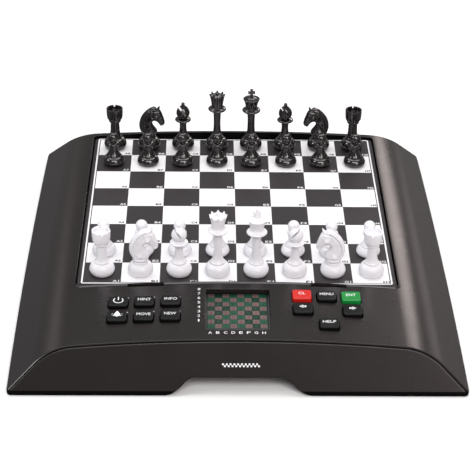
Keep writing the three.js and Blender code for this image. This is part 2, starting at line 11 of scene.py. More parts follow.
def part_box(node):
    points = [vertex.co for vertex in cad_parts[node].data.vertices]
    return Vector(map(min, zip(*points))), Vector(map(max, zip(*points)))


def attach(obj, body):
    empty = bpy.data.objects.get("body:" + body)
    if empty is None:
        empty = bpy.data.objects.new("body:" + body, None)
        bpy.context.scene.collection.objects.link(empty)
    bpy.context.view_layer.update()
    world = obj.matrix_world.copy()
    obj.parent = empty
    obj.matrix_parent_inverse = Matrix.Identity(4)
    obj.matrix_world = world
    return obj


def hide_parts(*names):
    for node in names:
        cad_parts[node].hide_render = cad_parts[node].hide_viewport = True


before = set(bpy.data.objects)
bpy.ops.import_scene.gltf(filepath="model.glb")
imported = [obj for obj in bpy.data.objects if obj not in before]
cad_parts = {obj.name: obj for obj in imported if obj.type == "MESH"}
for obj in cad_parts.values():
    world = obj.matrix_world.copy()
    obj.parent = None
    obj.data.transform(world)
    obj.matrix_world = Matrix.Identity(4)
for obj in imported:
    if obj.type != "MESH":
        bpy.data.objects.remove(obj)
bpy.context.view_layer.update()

MM = 0.001


def box_mm(node):
    """A CAD node's lowest and highest corner, in millimetres."""
    low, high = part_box(node)
    return low / MM, high / MM


# ---- Driving sizes, from the frame ----
SHELL_LOW, SHELL_HIGH = box_mm("top_shell")
BASE_LOW, BASE_HIGH = box_mm("bottom_shell")
PANEL_LOW, PANEL_HIGH = box_mm("board_panel")
WINDOW_LOW, WINDOW_HIGH = box_mm("display_window")
MODULE_LOW, MODULE_HIGH = box_mm("display_module")
DOOR_LOW, DOOR_HIGH = box_mm("battery_door")
CELLS_LOW, CELLS_HIGH = box_mm("battery_cells")
SPEAKER_LOW, SPEAKER_HIGH = box_mm("speaker")

SIDE_BOW = 1.5
HALF_WIDTH = BASE_HIGH.x - SIDE_BOW
HALF_DEPTH = BASE_HIGH.y
BAND_TOP = 3.3
CASE_BOTTOM = BASE_LOW.z
SHELL_BOTTOM = SHELL_LOW.z
LIP_HEIGHT = 0.8
CROWN = SHELL_HIGH.z - LIP_HEIGHT
BOARD_TOP = PANEL_HIGH.z

SQUARE = 25.0
BOARD_HALF = 4 * SQUARE
BOARD_Y = 32.5

# ---- Form of the case ----
CROWN_RADIUS = 1406.0
SHOULDER_RADIUS = 40.0
FLANK = math.radians(42.6)
END = math.radians(62.9)
WALL = 2.5
CORNER = 3.0
# Inner walls end this far below the deck's surface, and cutters reach this far past what they cut.
SKIN = 1.0
CUT_MARGIN = 5.0

PANEL_GAP_SIDE = 1.0
PANEL_GAP_END = 0.8
RECESS_SIDE = PANEL_HIGH.x + PANEL_GAP_SIDE
RECESS_FRONT = PANEL_LOW.y - PANEL_GAP_END
RECESS_REAR = PANEL_HIGH.y + PANEL_GAP_END
RECESS_CORNER = 3.0
TRAY_FLOOR = 23.8
TRAY_THICKNESS = 1.5
LIP_SIDE = 1.2
LIP_FRONT = 2.2

DISPLAY_WIDTH = 40.6
DISPLAY_REAR = -81.5
DISPLAY_FRONT = -127.6
DISPLAY_DEPTH = DISPLAY_REAR - DISPLAY_FRONT
DISPLAY_Y = (DISPLAY_FRONT + DISPLAY_REAR) / 2
DISPLAY_RECESS = 3.3

KEY_WIDTH = 12.4
KEY_DEPTH = 11.0
KEY_CORNER = 1.6
KEY_GAP = 0.35
KEY_FOOT = 24.2
KEY_EDGE = 0.9
KEY_DRAFT = 0.15
KEY_FLANGE = 1.0

LIFT_SLOT_X = 58.5
LIFT_SLOT_WIDTH = 23.0
LIFT_SLOT_DEPTH = 2.5
LIFT_SLOT_WALL = 1.5
LIFT_SLOT_FLOOR = BOARD_TOP - 1.0
LIFT_SLOT_REAR = RECESS_FRONT - LIFT_SLOT_WALL


# ---- Curves and outlines ----
def spline(points, steps=6):
    """Points on a smooth curve through the given ones; two points make a straight line."""
    knots = [Vector(p) for p in points]
    if len(knots) == 2:
        return knots
    knots = [2 * knots[0] - knots[1], *knots, 2 * knots[-1] - knots[-2]]
    curve = []
    for p0, p1, p2, p3 in zip(knots, knots[1:], knots[2:], knots[3:]):
        d1, d2, d3 = ((b - a).length ** 0.5 for a, b in ((p0, p1), (p1, p2), (p2, p3)))
        m1 = ((p1 - p0) / d1 - (p2 - p0) / (d1 + d2) + (p2 - p1) / d2) * d2
        m2 = ((p2 - p1) / d2 - (p3 - p1) / (d2 + d3) + (p3 - p2) / d3) * d2
        for i in range(steps):
            t = i / steps
            curve.append(
                p1 * (2 * t**3 - 3 * t**2 + 1)
                + m1 * (t**3 - 2 * t**2 + t)
                + p2 * (3 * t**2 - 2 * t**3)
                + m2 * (t**3 - t**2)
            )
    curve.append(knots[-2])
    return curve


def arc(centre, radius, start, end, steps=12):
    """Points on a circular arc in a plane, with its angles in degrees."""
    points = []
    for i in range(steps + 1):
        turn = math.radians(start + (end - start) * i / steps)
        points.append(Vector((centre[0] + radius * math.cos(turn), centre[1] + radius * math.sin(turn))))
    return points


def circle(centre, radius, steps):
    return arc(centre, radius, 0, 360, steps)[:-1]


def mirrored(points):
    """The mirror images of an outline's right half, in reverse order, which continue it on the left."""
    return [Vector((-p.x, p.y)) for p in reversed(points)]


def rounded_outline(x0, x1, y0, y1, radius, along=1):
    """A rectangle with round corners, anticlockwise from its front right; along splits its sides."""
    centres = [(x1, y0, 1, -1, -90), (x1, y1, 1, 1, 0), (x0, y1, -1, 1, 90), (x0, y0, -1, -1, 180)]
    corners = []
    for x, y, side_x, side_y, start in centres:
        centre = (x - side_x * radius, y - side_y * radius)
        corners.append(arc(centre, radius, start, start + 90, 6))
    outline = []
    for corner, following in zip(corners, corners[1:] + corners[:1]):
        outline += corner
        outline += [corner[-1].lerp(following[0], i / along) for i in range(1, along)]
    return outline


def centred_outline(x, y, width, depth, radius, grow=0.0, along=1):
    half_x = width / 2 + grow
    half_y = depth / 2 + grow
    corner = max(radius + grow, 0.05)
    return rounded_outline(x - half_x, x + half_x, y - half_y, y + half_y, corner, along)


def centred_growing(x, y, width, depth, radius, gap=0.0, along=1):
    """A rounded rectangle's outline, as a function of how far it is grown beyond a gap."""
    return lambda grow: centred_outline(x, y, width, depth, radius, gap + grow, along)


def box_growing(low, high, radius):
    """The outline of a box seen from above, as a function of how far it is grown."""
    return lambda grow: rounded_outline(
        low.x - grow, high.x + grow, low.y - grow, high.y + grow, radius + grow
    )


def rounding(radius, sweep=90, steps=4):
    """Points round a rounded edge, as distances sideways and upwards from where it begins to turn."""
    turns = [math.radians(sweep * step / steps) for step in range(steps + 1)]
    return [(radius * (1 - math.cos(turn)), radius * (1 - math.sin(turn))) for turn in turns]


def deck(x):
    """Height of the crowned deck at a distance x from its middle line."""
    return CROWN - CROWN_RADIUS + math.sqrt(CROWN_RADIUS**2 - x * x)


def level(outline, z):
    """An outline at height z."""
    return [(p.x, p.y, z) for p in outline]


def on_deck(outline, rise):
    """An outline that follows the deck, raised by a distance."""
    return [(p.x, p.y, deck(p.x) + rise) for p in outline]


def front_plane(z):
    """Distance from the middle of the leaning front and rear faces at height z."""
    return HALF_DEPTH - (z - BAND_TOP) / math.tan(END)


# ---- Mesh helpers ----
def new_object(name, data):
    """An object in the scene with the given mesh, curve, camera or light."""
    thing = bpy.data.objects.new(name, data)
    bpy.context.scene.collection.objects.link(thing)
    return thing


def shade(piece, smooth_angle=30):
    """Makes a piece smooth except where its faces meet at a sharp angle."""
    piece.data.polygons.foreach_set("use_smooth", [True] * len(piece.data.polygons))
    piece.data.set_sharp_from_angle(angle=math.radians(smooth_angle))
    return piece


def new_piece(name, points, faces, smooth_angle=30):
    """A mesh object from points in millimetres."""
    mesh = bpy.data.meshes.new(name)
    mesh.from_pydata([Vector(p) * MM for p in points], [], faces)
    return shade(new_object(name, mesh), smooth_angle)


def mesh_of(work, name):
    """A mesh from an edit mesh, which is then freed."""
    mesh = bpy.data.meshes.new(name)
    work.to_mesh(mesh)
    work.free()
    return mesh


def ring_faces(rings, count, closed=False):
    """The faces between rings of points, each with the same count; closed joins the last to the first."""
    faces = []
    for ring in range(rings if closed else rings - 1):
        near = ring * count
        far = (ring + 1) % rings * count
        for i in range(count):
            j = (i + 1) % count
            faces.append((near + i, near + j, far + j, far + i))
    return faces


def loft(name, loops):
    """A closed body through loops of points that run anticlockwise seen from its far end."""
    count = len(loops[0])
    last = (len(loops) - 1) * count
    ends = [tuple(reversed(range(count))), tuple(range(last, last + count))]
    faces = ring_faces(len(loops), count)
    return new_piece(name, [p for loop in loops for p in loop], [ends[0], *faces, ends[1]])


def raised(name, outline, z0, z1):
    """A flat outline raised from z0 to z1."""
    return loft(name, [level(outline, z0), level(outline, z1)])


def turned(name, stretches, segments=56):
    """A body of revolution about Z from stretches of a (radius, height) profile, which begins and ends
    on the axis. Each stretch is a smooth curve, and the profile keeps an edge where two meet."""
    profile = []
    for stretch in stretches:
        curve = spline(stretch)
        profile += curve if not profile else curve[1:]
    points = [(0, 0, profile[0].y)]
    for radius, height in (p.to_tuple() for p in profile[1:-1]):
        for i in range(segments):
            turn = 2 * math.pi * i / segments
            points.append((radius * math.cos(turn), radius * math.sin(turn), height))
    points.append((0, 0, profile[-1].y))
    faces = []
    last = len(points) - 1
    top = last - segments
    for i in range(segments):
        j = (i + 1) % segments
        faces.append((0, 1 + j, 1 + i))
        for ring in range(1, top, segments):
            faces.append((ring + i, ring + j, ring + segments + j, ring + segments + i))
        faces.append((top + i, top + j, last))
    return new_piece(name, points, faces, 40)


def evaluated_mesh(piece):
    """The plain mesh of a piece with its modifiers."""
    evaluated = piece.evaluated_get(bpy.context.evaluated_depsgraph_get())
    return bpy.data.meshes.new_from_object(evaluated)


def combine(piece, operation, *tools, smooth_angle=30):
    """Joins, cuts or crosses a piece with closed tools, which are then removed."""
    for tool in tools:
        modifier = piece.modifiers.new("combine", "BOOLEAN")
        modifier.object = tool
        modifier.operation = operation
        modifier.solver = "MANIFOLD"
    combined = evaluated_mesh(piece)
    piece.modifiers.clear()
    piece.data = combined
    for tool in tools:
        bpy.data.objects.remove(tool)
    return shade(piece, smooth_angle)


def place(piece, body, slot, *nodes, material=None):
    """Gives a piece its material, its body and the CAD nodes that it stands for, which it hides. The slot
    is not used.
    """
    if material is not None:
        piece.data.materials.clear()
        piece.data.materials.append(material)
    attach(piece, body)
    if nodes:
        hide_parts(*nodes)
    return piece


def even_normals(piece):
    """Lets the large faces set the shading, so that flat areas stay flat beside small rounded edges."""
    modifier = piece.modifiers.new("even_normals", "WEIGHTED_NORMAL")
    modifier.weight = 100
    modifier.keep_sharp = True


# ---- Materials ----
def linear(red, green, blue):
    """A display colour from 0 to 255 as the shader's linear colour."""
    channels = []
    for value in (red, green, blue):
        value /= 255
        channels.append(value / 12.92 if value <= 0.04045 else ((value + 0.055) / 1.055) ** 2.4)
    return (*channels, 1.0)


def plastic(name, colour, roughness, grain=0.25, depth=0.02, variation=0.12, specular=0.5):
    """Moulded plastic: a fine grain of the given size and depth in millimetres, with faint changes of
    tone and gloss over a hand's breadth."""
    material = bpy.data.materials.new(name)
    material.use_nodes = True
    nodes = material.node_tree.nodes
    links = material.node_tree.links
    shader = nodes["Principled BSDF"]
    shader.inputs["Specular IOR Level"].default_value = specular
    coordinates = nodes.new("ShaderNodeTexCoord").outputs["Object"]

    def noise(scale, detail):
        texture = nodes.new("ShaderNodeTexNoise")
        texture.inputs["Scale"].default_value = scale
        texture.inputs["Detail"].default_value = detail
        links.new(coordinates, texture.inputs["Vector"])
        return texture.outputs["Fac"]

    ramp = nodes.new("ShaderNodeValToRGB")
    tones = ((0.3, 1 - variation), (0.7, 1 + variation))
    for element, (position, tone) in zip(ramp.color_ramp.elements, tones):
        element.position = position
        element.color = (*(min(1.0, c * tone) for c in colour[:3]), 1.0)
    links.new(noise(18.0, 4.0), ramp.inputs["Fac"])
    links.new(ramp.outputs["Color"], shader.inputs["Base Color"])

    gloss = nodes.new("ShaderNodeMapRange")
    gloss.inputs["To Min"].default_value = roughness * 0.88
    gloss.inputs["To Max"].default_value = roughness * 1.12
    links.new(noise(60.0, 5.0), gloss.inputs["Value"])
    links.new(gloss.outputs["Result"], shader.inputs["Roughness"])

    relief = nodes.new("ShaderNodeBump")
    relief.inputs["Strength"].default_value = 1.0
    relief.inputs["Distance"].default_value = depth * MM
    links.new(noise(1 / (grain * MM), 2.0), relief.inputs["Height"])
    links.new(relief.outputs["Normal"], shader.inputs["Normal"])
    return material


def set_shader(material, socket, value):
    material.node_tree.nodes["Principled BSDF"].inputs[socket].default_value = value


HOUSING = plastic("housing_plastic", linear(26, 20, 20), 0.28, grain=0.3, depth=0.003, variation=0.08)
# Painted shade: a darker, duller black for the shadowed walls of the recess.
RECESS_PAINTED_SHADE = plastic("recess_painted_shade", linear(6, 5, 5), 0.7, grain=0.3, depth=0.006, specular=0.08)
BASE_PLASTIC = plastic("base_plastic", linear(4, 4, 4), 0.6, grain=0.3, depth=0.006, specular=0.1)
BOARD_DARK = plastic("board_dark_print", linear(52, 48, 50), 0.32, grain=0.2, depth=0.003)
BOARD_WHITE = plastic(
    "board_white_print", linear(244, 243, 245), 0.32, grain=0.2, depth=0.003, variation=0.02
)
INK_WHITE = plastic("white_ink", linear(240, 240, 242), 0.5, grain=0.15, depth=0.003, variation=0.03)
INK_BLACK = plastic("black_ink", linear(24, 23, 25), 0.5, grain=0.15, depth=0.003)
KEY_BLACK = plastic("key_black_plastic", linear(7, 7, 8), 0.42, depth=0.004, specular=0.22)
KEY_RED = plastic("key_red_plastic", linear(204, 24, 14), 0.38, depth=0.006, variation=0.05)
KEY_GREEN = plastic("key_green_plastic", linear(0, 132, 52), 0.38, depth=0.006, variation=0.05)
PIECE_WHITE = plastic(
    "piece_white_plastic", linear(236, 235, 240), 0.22, grain=1.5, depth=0.006, variation=0.02
)
PIECE_BLACK = plastic("piece_black_plastic", linear(20, 15, 15), 0.18, grain=1.5, depth=0.004, specular=0.9)
GLASS = plastic("display_window_plastic", linear(50, 70, 60), 0.08, grain=6.0, depth=0.004, variation=0.05)
set_shader(GLASS, "Alpha", 0.08)
LCD_BEZEL = plastic("display_bezel", linear(18, 20, 20), 0.4)
LCD_FRAME = plastic("display_frame_line", linear(98, 98, 98), 0.35)
LCD_PALE = plastic("display_pale_cell", linear(118, 102, 100), 0.3, grain=0.6, variation=0.18)
LCD_GREEN = plastic("display_green_cell", linear(28, 88, 62), 0.3, grain=0.6, variation=0.2)
LCD_ROSE = plastic("display_rose_figure", linear(138, 78, 82), 0.3, grain=0.6, variation=0.2)
LCD_TEAL = plastic("display_teal_figure", linear(8, 72, 56), 0.3, grain=0.6, variation=0.2)
LCD_DARK = plastic("display_dark_figure", linear(0, 46, 30), 0.3, grain=0.6, variation=0.2)
SILICONE = plastic("silicone_rubber", linear(120, 122, 126), 0.7, grain=0.4, depth=0.02)
RUBBER = plastic("foot_rubber", linear(24, 24, 24), 0.85, grain=0.4, depth=0.03)
FILM = plastic("sensor_film", linear(200, 196, 168), 0.45, grain=0.4, depth=0.01)
CIRCUIT = plastic("circuit_board_lacquer", linear(24, 84, 42), 0.35, grain=0.5, depth=0.01, variation=0.3)
JACKET = plastic("battery_jacket", linear(176, 128, 52), 0.25, grain=0.8, depth=0.004)
STEEL = plastic("steel", linear(186, 188, 192), 0.3, grain=0.2, depth=0.004)
set_shader(STEEL, "Metallic", 1.0)


# ---- Case ----
def section(inset, bottom):
    """The case's cross-section, (x, z) from its right bottom edge over the deck to the left one."""
    normal = Vector((math.sin(FLANK), math.cos(FLANK)))
    up = Vector((-math.cos(FLANK), math.sin(FLANK)))
    start = Vector((HALF_WIDTH, BAND_TOP)) - SHOULDER_RADIUS * normal
    from_crown = start - Vector((0, CROWN - CROWN_RADIUS))
    along = from_crown.dot(up)
    excess = from_crown.length_squared - (CROWN_RADIUS - SHOULDER_RADIUS) ** 2
    centre = start + up * (math.sqrt(along * along - excess) - along)
    crown_edge = math.degrees(math.atan2(centre.y - CROWN + CROWN_RADIUS, centre.x))
    flank_x = HALF_WIDTH - inset / math.sin(FLANK) - (bottom - BAND_TOP) / math.tan(FLANK)
    shoulder = arc(centre, SHOULDER_RADIUS - inset, 90 - math.degrees(FLANK), crown_edge, 24)
    crown = arc((0, CROWN - CROWN_RADIUS), CROWN_RADIUS - inset, crown_edge, 180 - crown_edge, 48)
    right = [Vector((flank_x, bottom)), *shoulder]
    return right + crown[1:-1] + mirrored(right)


def bowed(points):
    """The sides bow outwards slightly in plan: each point moves out by its share."""
    moved = []
    for p in points:
        widening = 1 + SIDE_BOW * (1 - (p[1] / HALF_DEPTH) ** 2) / HALF_WIDTH
        moved.append(Vector((p[0] * widening, *p[1:])))
    return moved


def footprint(grow):
    """The case's outline on the table, grown by a distance."""
    half_x = HALF_WIDTH + grow
    half_y = HALF_DEPTH + grow
    return bowed(rounded_outline(-half_x, half_x, -half_y, half_y, CORNER + grow, along=16))


def case_loop(inset, depth, side, bottom):
    """The cross-section laid on the front (side -1) or rear face (side 1), at a depth behind it."""
    loop = []
    for p in section(inset, bottom):
        loop.append((p.x, side * (front_plane(p.y) - depth / math.sin(END)), p.y))
    return bowed(loop)


# Each step is (inset, depth): the face, its rounded edge, the seam groove and the cover's own edge.
SEAM = [(2.0, 0.0), (1.58, 0.03), (1.36, 0.14), (1.28, 0.34), (1.28, 1.3)]
SEAM += [(0.56, 1.3), (0.56, 0.1), (0.46, 0.0), (0.08, 0.36), (0.0, 0.5)]
SHELL_STATIONS = [-120.0, -80.0, -40.0, 0.0, 40.0, 80.0, 120.0]

# The lip round the recess in steps of (inwards, height above the deck).
LIP_STEPS = [(0, -1), (0, 0.03), (0.08, 0.09), (0.5, 0.62), (0.62, 0.74)]
LIP_STEPS += [(0.8, LIP_HEIGHT), (1.1, LIP_HEIGHT)]

NOTCH_DEPTH = 26.0
NOTCH_NARROWING = 1 - 4.0 / 45.0
NOTCH_FILLET = 1.2


def notch_loop(y_of, grow, narrow=1.0):
    """The finger notch's outline with its S-shaped flanks, widened by grow; y_of gives y at a height."""
    half, flat, steep, ceiling = 47.5, 26.0, 34.0, 10.5
    toe, flare, below = 0.2, 1.0, -2.0
    corners = [Vector(c) for c in ((half, toe), (steep, toe + flare), (steep, ceiling), (flat, ceiling))]
    flank = []
    for i in range(21):
        t = i / 20
        weights = ((1 - t) ** 3, 3 * t * (1 - t) ** 2, 3 * t * t * (1 - t), t**3)
        flank.append(sum((w * c for w, c in zip(weights, corners)), Vector((0, 0))))
    widened = []
    for before, p, after in zip(flank[:1] + flank, flank, flank[1:] + flank[-1:]):
        along = (after - before).normalized()
        widened.append(p + grow * Vector((along.y, -along.x)))
    widened[0] = Vector((half + grow, toe))
    right = [Vector((half + grow, below)), *widened]
    return [(p.x * narrow, y_of(p.y), p.y) for p in right + mirrored(right)]


def notch_body(grow):
    """The notch as a closed body, flared where it meets the front face."""
    loops = [notch_loop(lambda z: -HALF_DEPTH + NOTCH_DEPTH + grow, grow, NOTCH_NARROWING)]
    for flare, back in rounding(NOTCH_FILLET, 80, 5):
        loops.append(notch_loop(lambda z, back=back: -front_plane(max(z, 0)) + back, grow + flare))
    loops.append(notch_loop(lambda z: -HALF_DEPTH - 8, grow + NOTCH_FILLET))
    return loft("notch", loops)


def deck_cutter(name, outline_of, floor, fillet, rise=0.0):
    """An opening in the deck with a rounded rim; outline_of gives its outline, grown by a distance."""
    loops = [level(outline_of(0), floor)]
    loops += [on_deck(outline_of(grow), rise - drop) for grow, drop in rounding(fillet, 78)]
    loops.append(level(outline_of(2 * fillet), CROWN + CUT_MARGIN))
    return loft(name, loops)


def recess_outline(grow, front_grow=None):
    """The recess's outline, grown by a distance; its front side may grow by another."""
    side = RECESS_SIDE + grow
    front = RECESS_FRONT - (grow if front_grow is None else front_grow)
    return rounded_outline(-side, side, front, RECESS_REAR + grow, RECESS_CORNER + grow, along=24)


KEY_BOXES = {name: box_mm(name) for name in sorted(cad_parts) if name.startswith("key_")}
KEY_CENTRES = {name: (low + high) / 2 for name, (low, high) in KEY_BOXES.items()}


def build_top_shell():
    loops = [case_loop(inset, depth, -1, SHELL_BOTTOM) for inset, depth in SEAM]
    loops += [bowed([(p.x, y, p.y) for p in section(0.0, SHELL_BOTTOM)]) for y in SHELL_STATIONS]
    loops += [case_loop(inset, depth, 1, SHELL_BOTTOM) for inset, depth in reversed(SEAM)]
    shell = loft("top_shell_case", loops[::-1])
    combine(shell, "INTERSECT", raised("footprint", footprint(0), 0, CROWN + CUT_MARGIN))
    combine(shell, "DIFFERENCE", loft("cavity", [case_loop(WALL, WALL, side, 0) for side in (1, -1)]))

    tray_front = LIFT_SLOT_REAR - LIFT_SLOT_DEPTH
    tray_y = (tray_front + RECESS_REAR) / 2
    tray_size = (2 * RECESS_SIDE + 4, RECESS_REAR - tray_front + 4)
    tray = centred_outline(0, tray_y, *tray_size, RECESS_CORNER, along=24)
    collar = centred_outline(0, DISPLAY_Y, DISPLAY_WIDTH, DISPLAY_DEPTH, 1, WALL)
    for outline, low in ((tray, TRAY_FLOOR - TRAY_THICKNESS), (collar, CROWN - DISPLAY_RECESS)):
        combine(shell, "UNION", loft("inner_wall", [level(outline, low), on_deck(outline, -SKIN)]))
    lip = []
    for inwards, rise in LIP_STEPS:
        lip.append(on_deck(recess_outline(LIP_SIDE - inwards, LIP_FRONT - inwards), rise))
    combine(shell, "UNION", loft("lip", lip))

    inside_case = loft("inside_case", [case_loop(1, 1, side, SHELL_BOTTOM) for side in (1, -1)])
    combine(shell, "UNION", combine(notch_body(2.0), "INTERSECT", inside_case))

    display = centred_growing(0, DISPLAY_Y, DISPLAY_WIDTH, DISPLAY_DEPTH, 0.6, along=6)
    cutters = [
        deck_cutter("recess", recess_outline, TRAY_FLOOR, 0.3, LIP_HEIGHT),
        deck_cutter("display", display, WINDOW_LOW.z - CUT_MARGIN, 0.35),
        notch_body(0.0),
    ]
    slot_y = LIFT_SLOT_REAR - LIFT_SLOT_DEPTH / 2
    for x in (-LIFT_SLOT_X, LIFT_SLOT_X):
        slot = centred_growing(x, slot_y, LIFT_SLOT_WIDTH, LIFT_SLOT_DEPTH, 0.5, along=4)
        cutters.append(deck_cutter("lift_slot", slot, LIFT_SLOT_FLOOR, 0.2))
    for x, y, _ in KEY_CENTRES.values():
        hole = centred_growing(x, y, KEY_WIDTH, KEY_DEPTH, KEY_CORNER, KEY_GAP)
        cutters.append(deck_cutter("key_hole", hole, KEY_FOOT - 0.5, 0.25))
    combine(shell, "DIFFERENCE", *cutters)
    even_normals(shell)
    place(shell, "housing", "housing", "top_shell", material=HOUSING)

    # Painted shade: the walls of the recess get a darker, duller black than the deck, for the shadow that
    # falls in the recess.
    shell.data.materials.append(RECESS_PAINTED_SHADE)
    for face in shell.data.polygons:
        x, y, z = face.center / MM
        in_recess = abs(x) < RECESS_SIDE + 0.2 and RECESS_FRONT - 0.2 < y < RECESS_REAR + 0.2
        if in_recess and z > TRAY_FLOOR - 0.1 and face.normal.z < 0.6:
            face.material_index = 1


# ---- Simple solids ----
def cylinder(name, x, y, radius, z0, z1, bevel=0.0):
    """An upright cylinder, with bevelled rims where a bevel is given."""
    steps = [(radius, z0), (radius, z1)]
    if bevel:
        rim = [(radius - bevel, 0.0), (radius - 0.3 * bevel, 0.3 * bevel), (radius, bevel)]
        steps = [(r, z0 + rise) for r, rise in rim] + [(r, z1 - rise) for r, rise in reversed(rim)]
    return loft(name, [level(circle((x, y), r, 40), z) for r, z in steps])


def slab(name, outline_of, z0, z1, fillet, draft=0.0):
    """A plate with rounded edges, narrower at its top by the draft; outline_of gives its outline, grown
    by a distance."""
    edge = rounding(fillet)
    steps = [(-inwards, z0 + rise) for rise, inwards in edge]
    steps += [(-draft - inwards, z1 - drop) for inwards, drop in edge]
    return loft(name, [level(outline_of(grow), z) for grow, z in steps])


def band(name, outer, inner, z0, z1):
    """A flat closed strip between two outlines with the same number of points, from z0 to z1."""
    points = level(outer, z0) + level(outer, z1) + level(inner, z1) + level(inner, z0)
    return new_piece(name, points, ring_faces(4, len(outer), closed=True))


def joined(name, pieces):
    """One object from several, keeping where each stands."""
    whole = bmesh.new()
    for piece in pieces:
        copy = piece.data.copy()
        copy.transform(piece.matrix_world)
        whole.from_mesh(copy)
        bpy.data.meshes.remove(copy)
    mesh = mesh_of(whole, name)
    for piece in pieces:
        bpy.data.objects.remove(piece)
    return shade(new_object(name, mesh))


# Print stands out from its surface by this much.
INK = 0.03


def printed(name, outline, z=0.0):
    return raised(name, outline, z - INK, z + INK)


def printed_band(name, outer, inner, z):
    return band(name, outer, inner, z - INK, z + INK)


def lettering(name, text, x, y, width, height, z=0.0, weight=0.014):
    """Printed text in a plain face, fitted to a width and height in millimetres and centred at x, y.
    Weight thickens its strokes."""
    curve = bpy.data.curves.new(name, "FONT")
    curve.body = text
    curve.size = 1.0
    curve.extrude = 0.5
    curve.offset = weight
    curve.resolution_u = 4
    source = new_object(name, curve)
    mesh = evaluated_mesh(source)
    bpy.data.objects.remove(source)
    xs = [v.co.x for v in mesh.vertices]
    ys = [v.co.y for v in mesh.vertices]
    scale_x = width / (max(xs) - min(xs))
    scale_y = height / (max(ys) - min(ys))
    for v in mesh.vertices:
        v.co = MM * Vector((
            x + scale_x * (v.co.x - (max(xs) + min(xs)) / 2),
            y + scale_y * (v.co.y - (max(ys) + min(ys)) / 2),
            z + 2 * INK * v.co.z,
        ))
    weld = bmesh.new()
    weld.from_mesh(mesh)
    bmesh.ops.remove_doubles(weld, verts=weld.verts, dist=0.001 * MM)
    return shade(new_object(name, mesh_of(weld, name)))


def follow_deck(piece):
    """Lays flat print on the crowned deck."""
    for v in piece.data.vertices:
        v.co.z += MM * deck(v.co.x / MM)
    return piece


# ---- Base, door and feet ----
BAY_HALF_X = DOOR_HIGH.x - 3.0
BAY_HALF_Y = (DOOR_HIGH.y - DOOR_LOW.y) / 2 - 3.0
BAY_Y = (DOOR_HIGH.y + DOOR_LOW.y) / 2
BAY_TOP = BASE_HIGH.z - 1.5
DOOR_GAP = 0.4
GRIP_PITCH = 1.8
GRIP_WIDTH = 18.0
GRIP_TAPER = 2.4
DOOR_LEDGE = 3.0 + DOOR_GAP
RIB = 1.5
FEET = sorted(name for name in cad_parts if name.startswith("foot_"))
SPEAKER_X, SPEAKER_Y, _ = (SPEAKER_LOW + SPEAKER_HIGH) / 2
SPEAKER_RADIUS = (SPEAKER_HIGH.x - SPEAKER_LOW.x) / 2
SOUND_HOLE_RADIUS = 0.8
SOUND_HOLE_RINGS = ((0.0, 1), (3.2, 6), (6.4, 12), (9.6, 18))
SPEAKER_RING_WIDTH = 2.0
SPEAKER_RING_TOP = 6.8
POCKET_GAP = 0.3
SCREWS = [(x, y) for x in (-108.0, 108.0) for y in (-112.0, 5.0, 112.0)]
SCREW_SINK = 1.4
SCREW_RADIUS = 2.8
COUNTERBORE_RADIUS = 3.4
CROSS_LENGTH, CROSS_WIDTH = 3.2, 0.7


def bay_box(name, grow, radius, z0, z1):
    """A box that reaches further than the battery bay by a distance."""
    outline = centred_outline(0, BAY_Y, 2 * (BAY_HALF_X + grow), 2 * (BAY_HALF_Y + grow), radius)
    return raised(name, outline, z0, z1)


def build_base():
    base = slab("bottom_shell_case", footprint, CASE_BOTTOM, BAND_TOP, 0.25)
    wall_foot = CASE_BOTTOM + 0.5
    combine(base, "UNION", bay_box("bay_wall", RIB, 1.0, wall_foot, BASE_HIGH.z))
    combine(base, "UNION", bay_box("ledge_wall", DOOR_LEDGE + RIB, 1.0, wall_foot, DOOR_HIGH.z + 1.8))
    ring_radius = SPEAKER_RADIUS + SPEAKER_RING_WIDTH
    ring = cylinder("speaker_ring", SPEAKER_X, SPEAKER_Y, ring_radius, wall_foot, SPEAKER_RING_TOP)
    ring_hole = cylinder("ring_hole", SPEAKER_X, SPEAKER_Y, SPEAKER_RADIUS + POCKET_GAP, BAND_TOP, 9)
    combine(base, "UNION", combine(ring, "DIFFERENCE", ring_hole))
    cutters = [
        bay_box("bay", 0, 1.0, 0, BAY_TOP),
        bay_box("door_seat", DOOR_LEDGE, 1.5, 0, DOOR_HIGH.z + POCKET_GAP),
        notch_body(0.0),
    ]
    for low, high in map(box_mm, FEET):
        x, y, _ = (low + high) / 2
        radius = (high.x - low.x) / 2 + POCKET_GAP
        cutters.append(cylinder("foot_pocket", x, y, radius, 0, high.z + POCKET_GAP))
    for reach, count in SOUND_HOLE_RINGS:
        for i in range(count):
            turn = 2 * math.pi * i / count
            x = SPEAKER_X + reach * math.cos(turn)
            y = SPEAKER_Y + reach * math.sin(turn)
            cutters.append(cylinder("sound_hole", x, y, SOUND_HOLE_RADIUS, 0, BAND_TOP + 1))
    for x, y in SCREWS:
        cutters.append(cylinder("counterbore", x, y, COUNTERBORE_RADIUS, 0, CASE_BOTTOM + SCREW_SINK))
    combine(base, "DIFFERENCE", *cutters)
    even_normals(base)
    place(base, "housing", "base", "bottom_shell", material=BASE_PLASTIC)


def build_screws():
    """Cross-head screws, each in its counterbore."""
    heads = []
    for x, y in SCREWS:
        head = cylinder("screw", x, y, SCREW_RADIUS, CASE_BOTTOM + 0.35, CASE_BOTTOM + SCREW_SINK, 0.35)
        for width, depth in ((CROSS_LENGTH, CROSS_WIDTH), (CROSS_WIDTH, CROSS_LENGTH)):
            slot = raised("cross", centred_outline(x, y, width, depth, 0.1), 0, CASE_BOTTOM + 1.0)
            combine(head, "DIFFERENCE", slot)
        heads.append(head)
    place(joined("case_screws", heads), "housing", "base", material=STEEL)


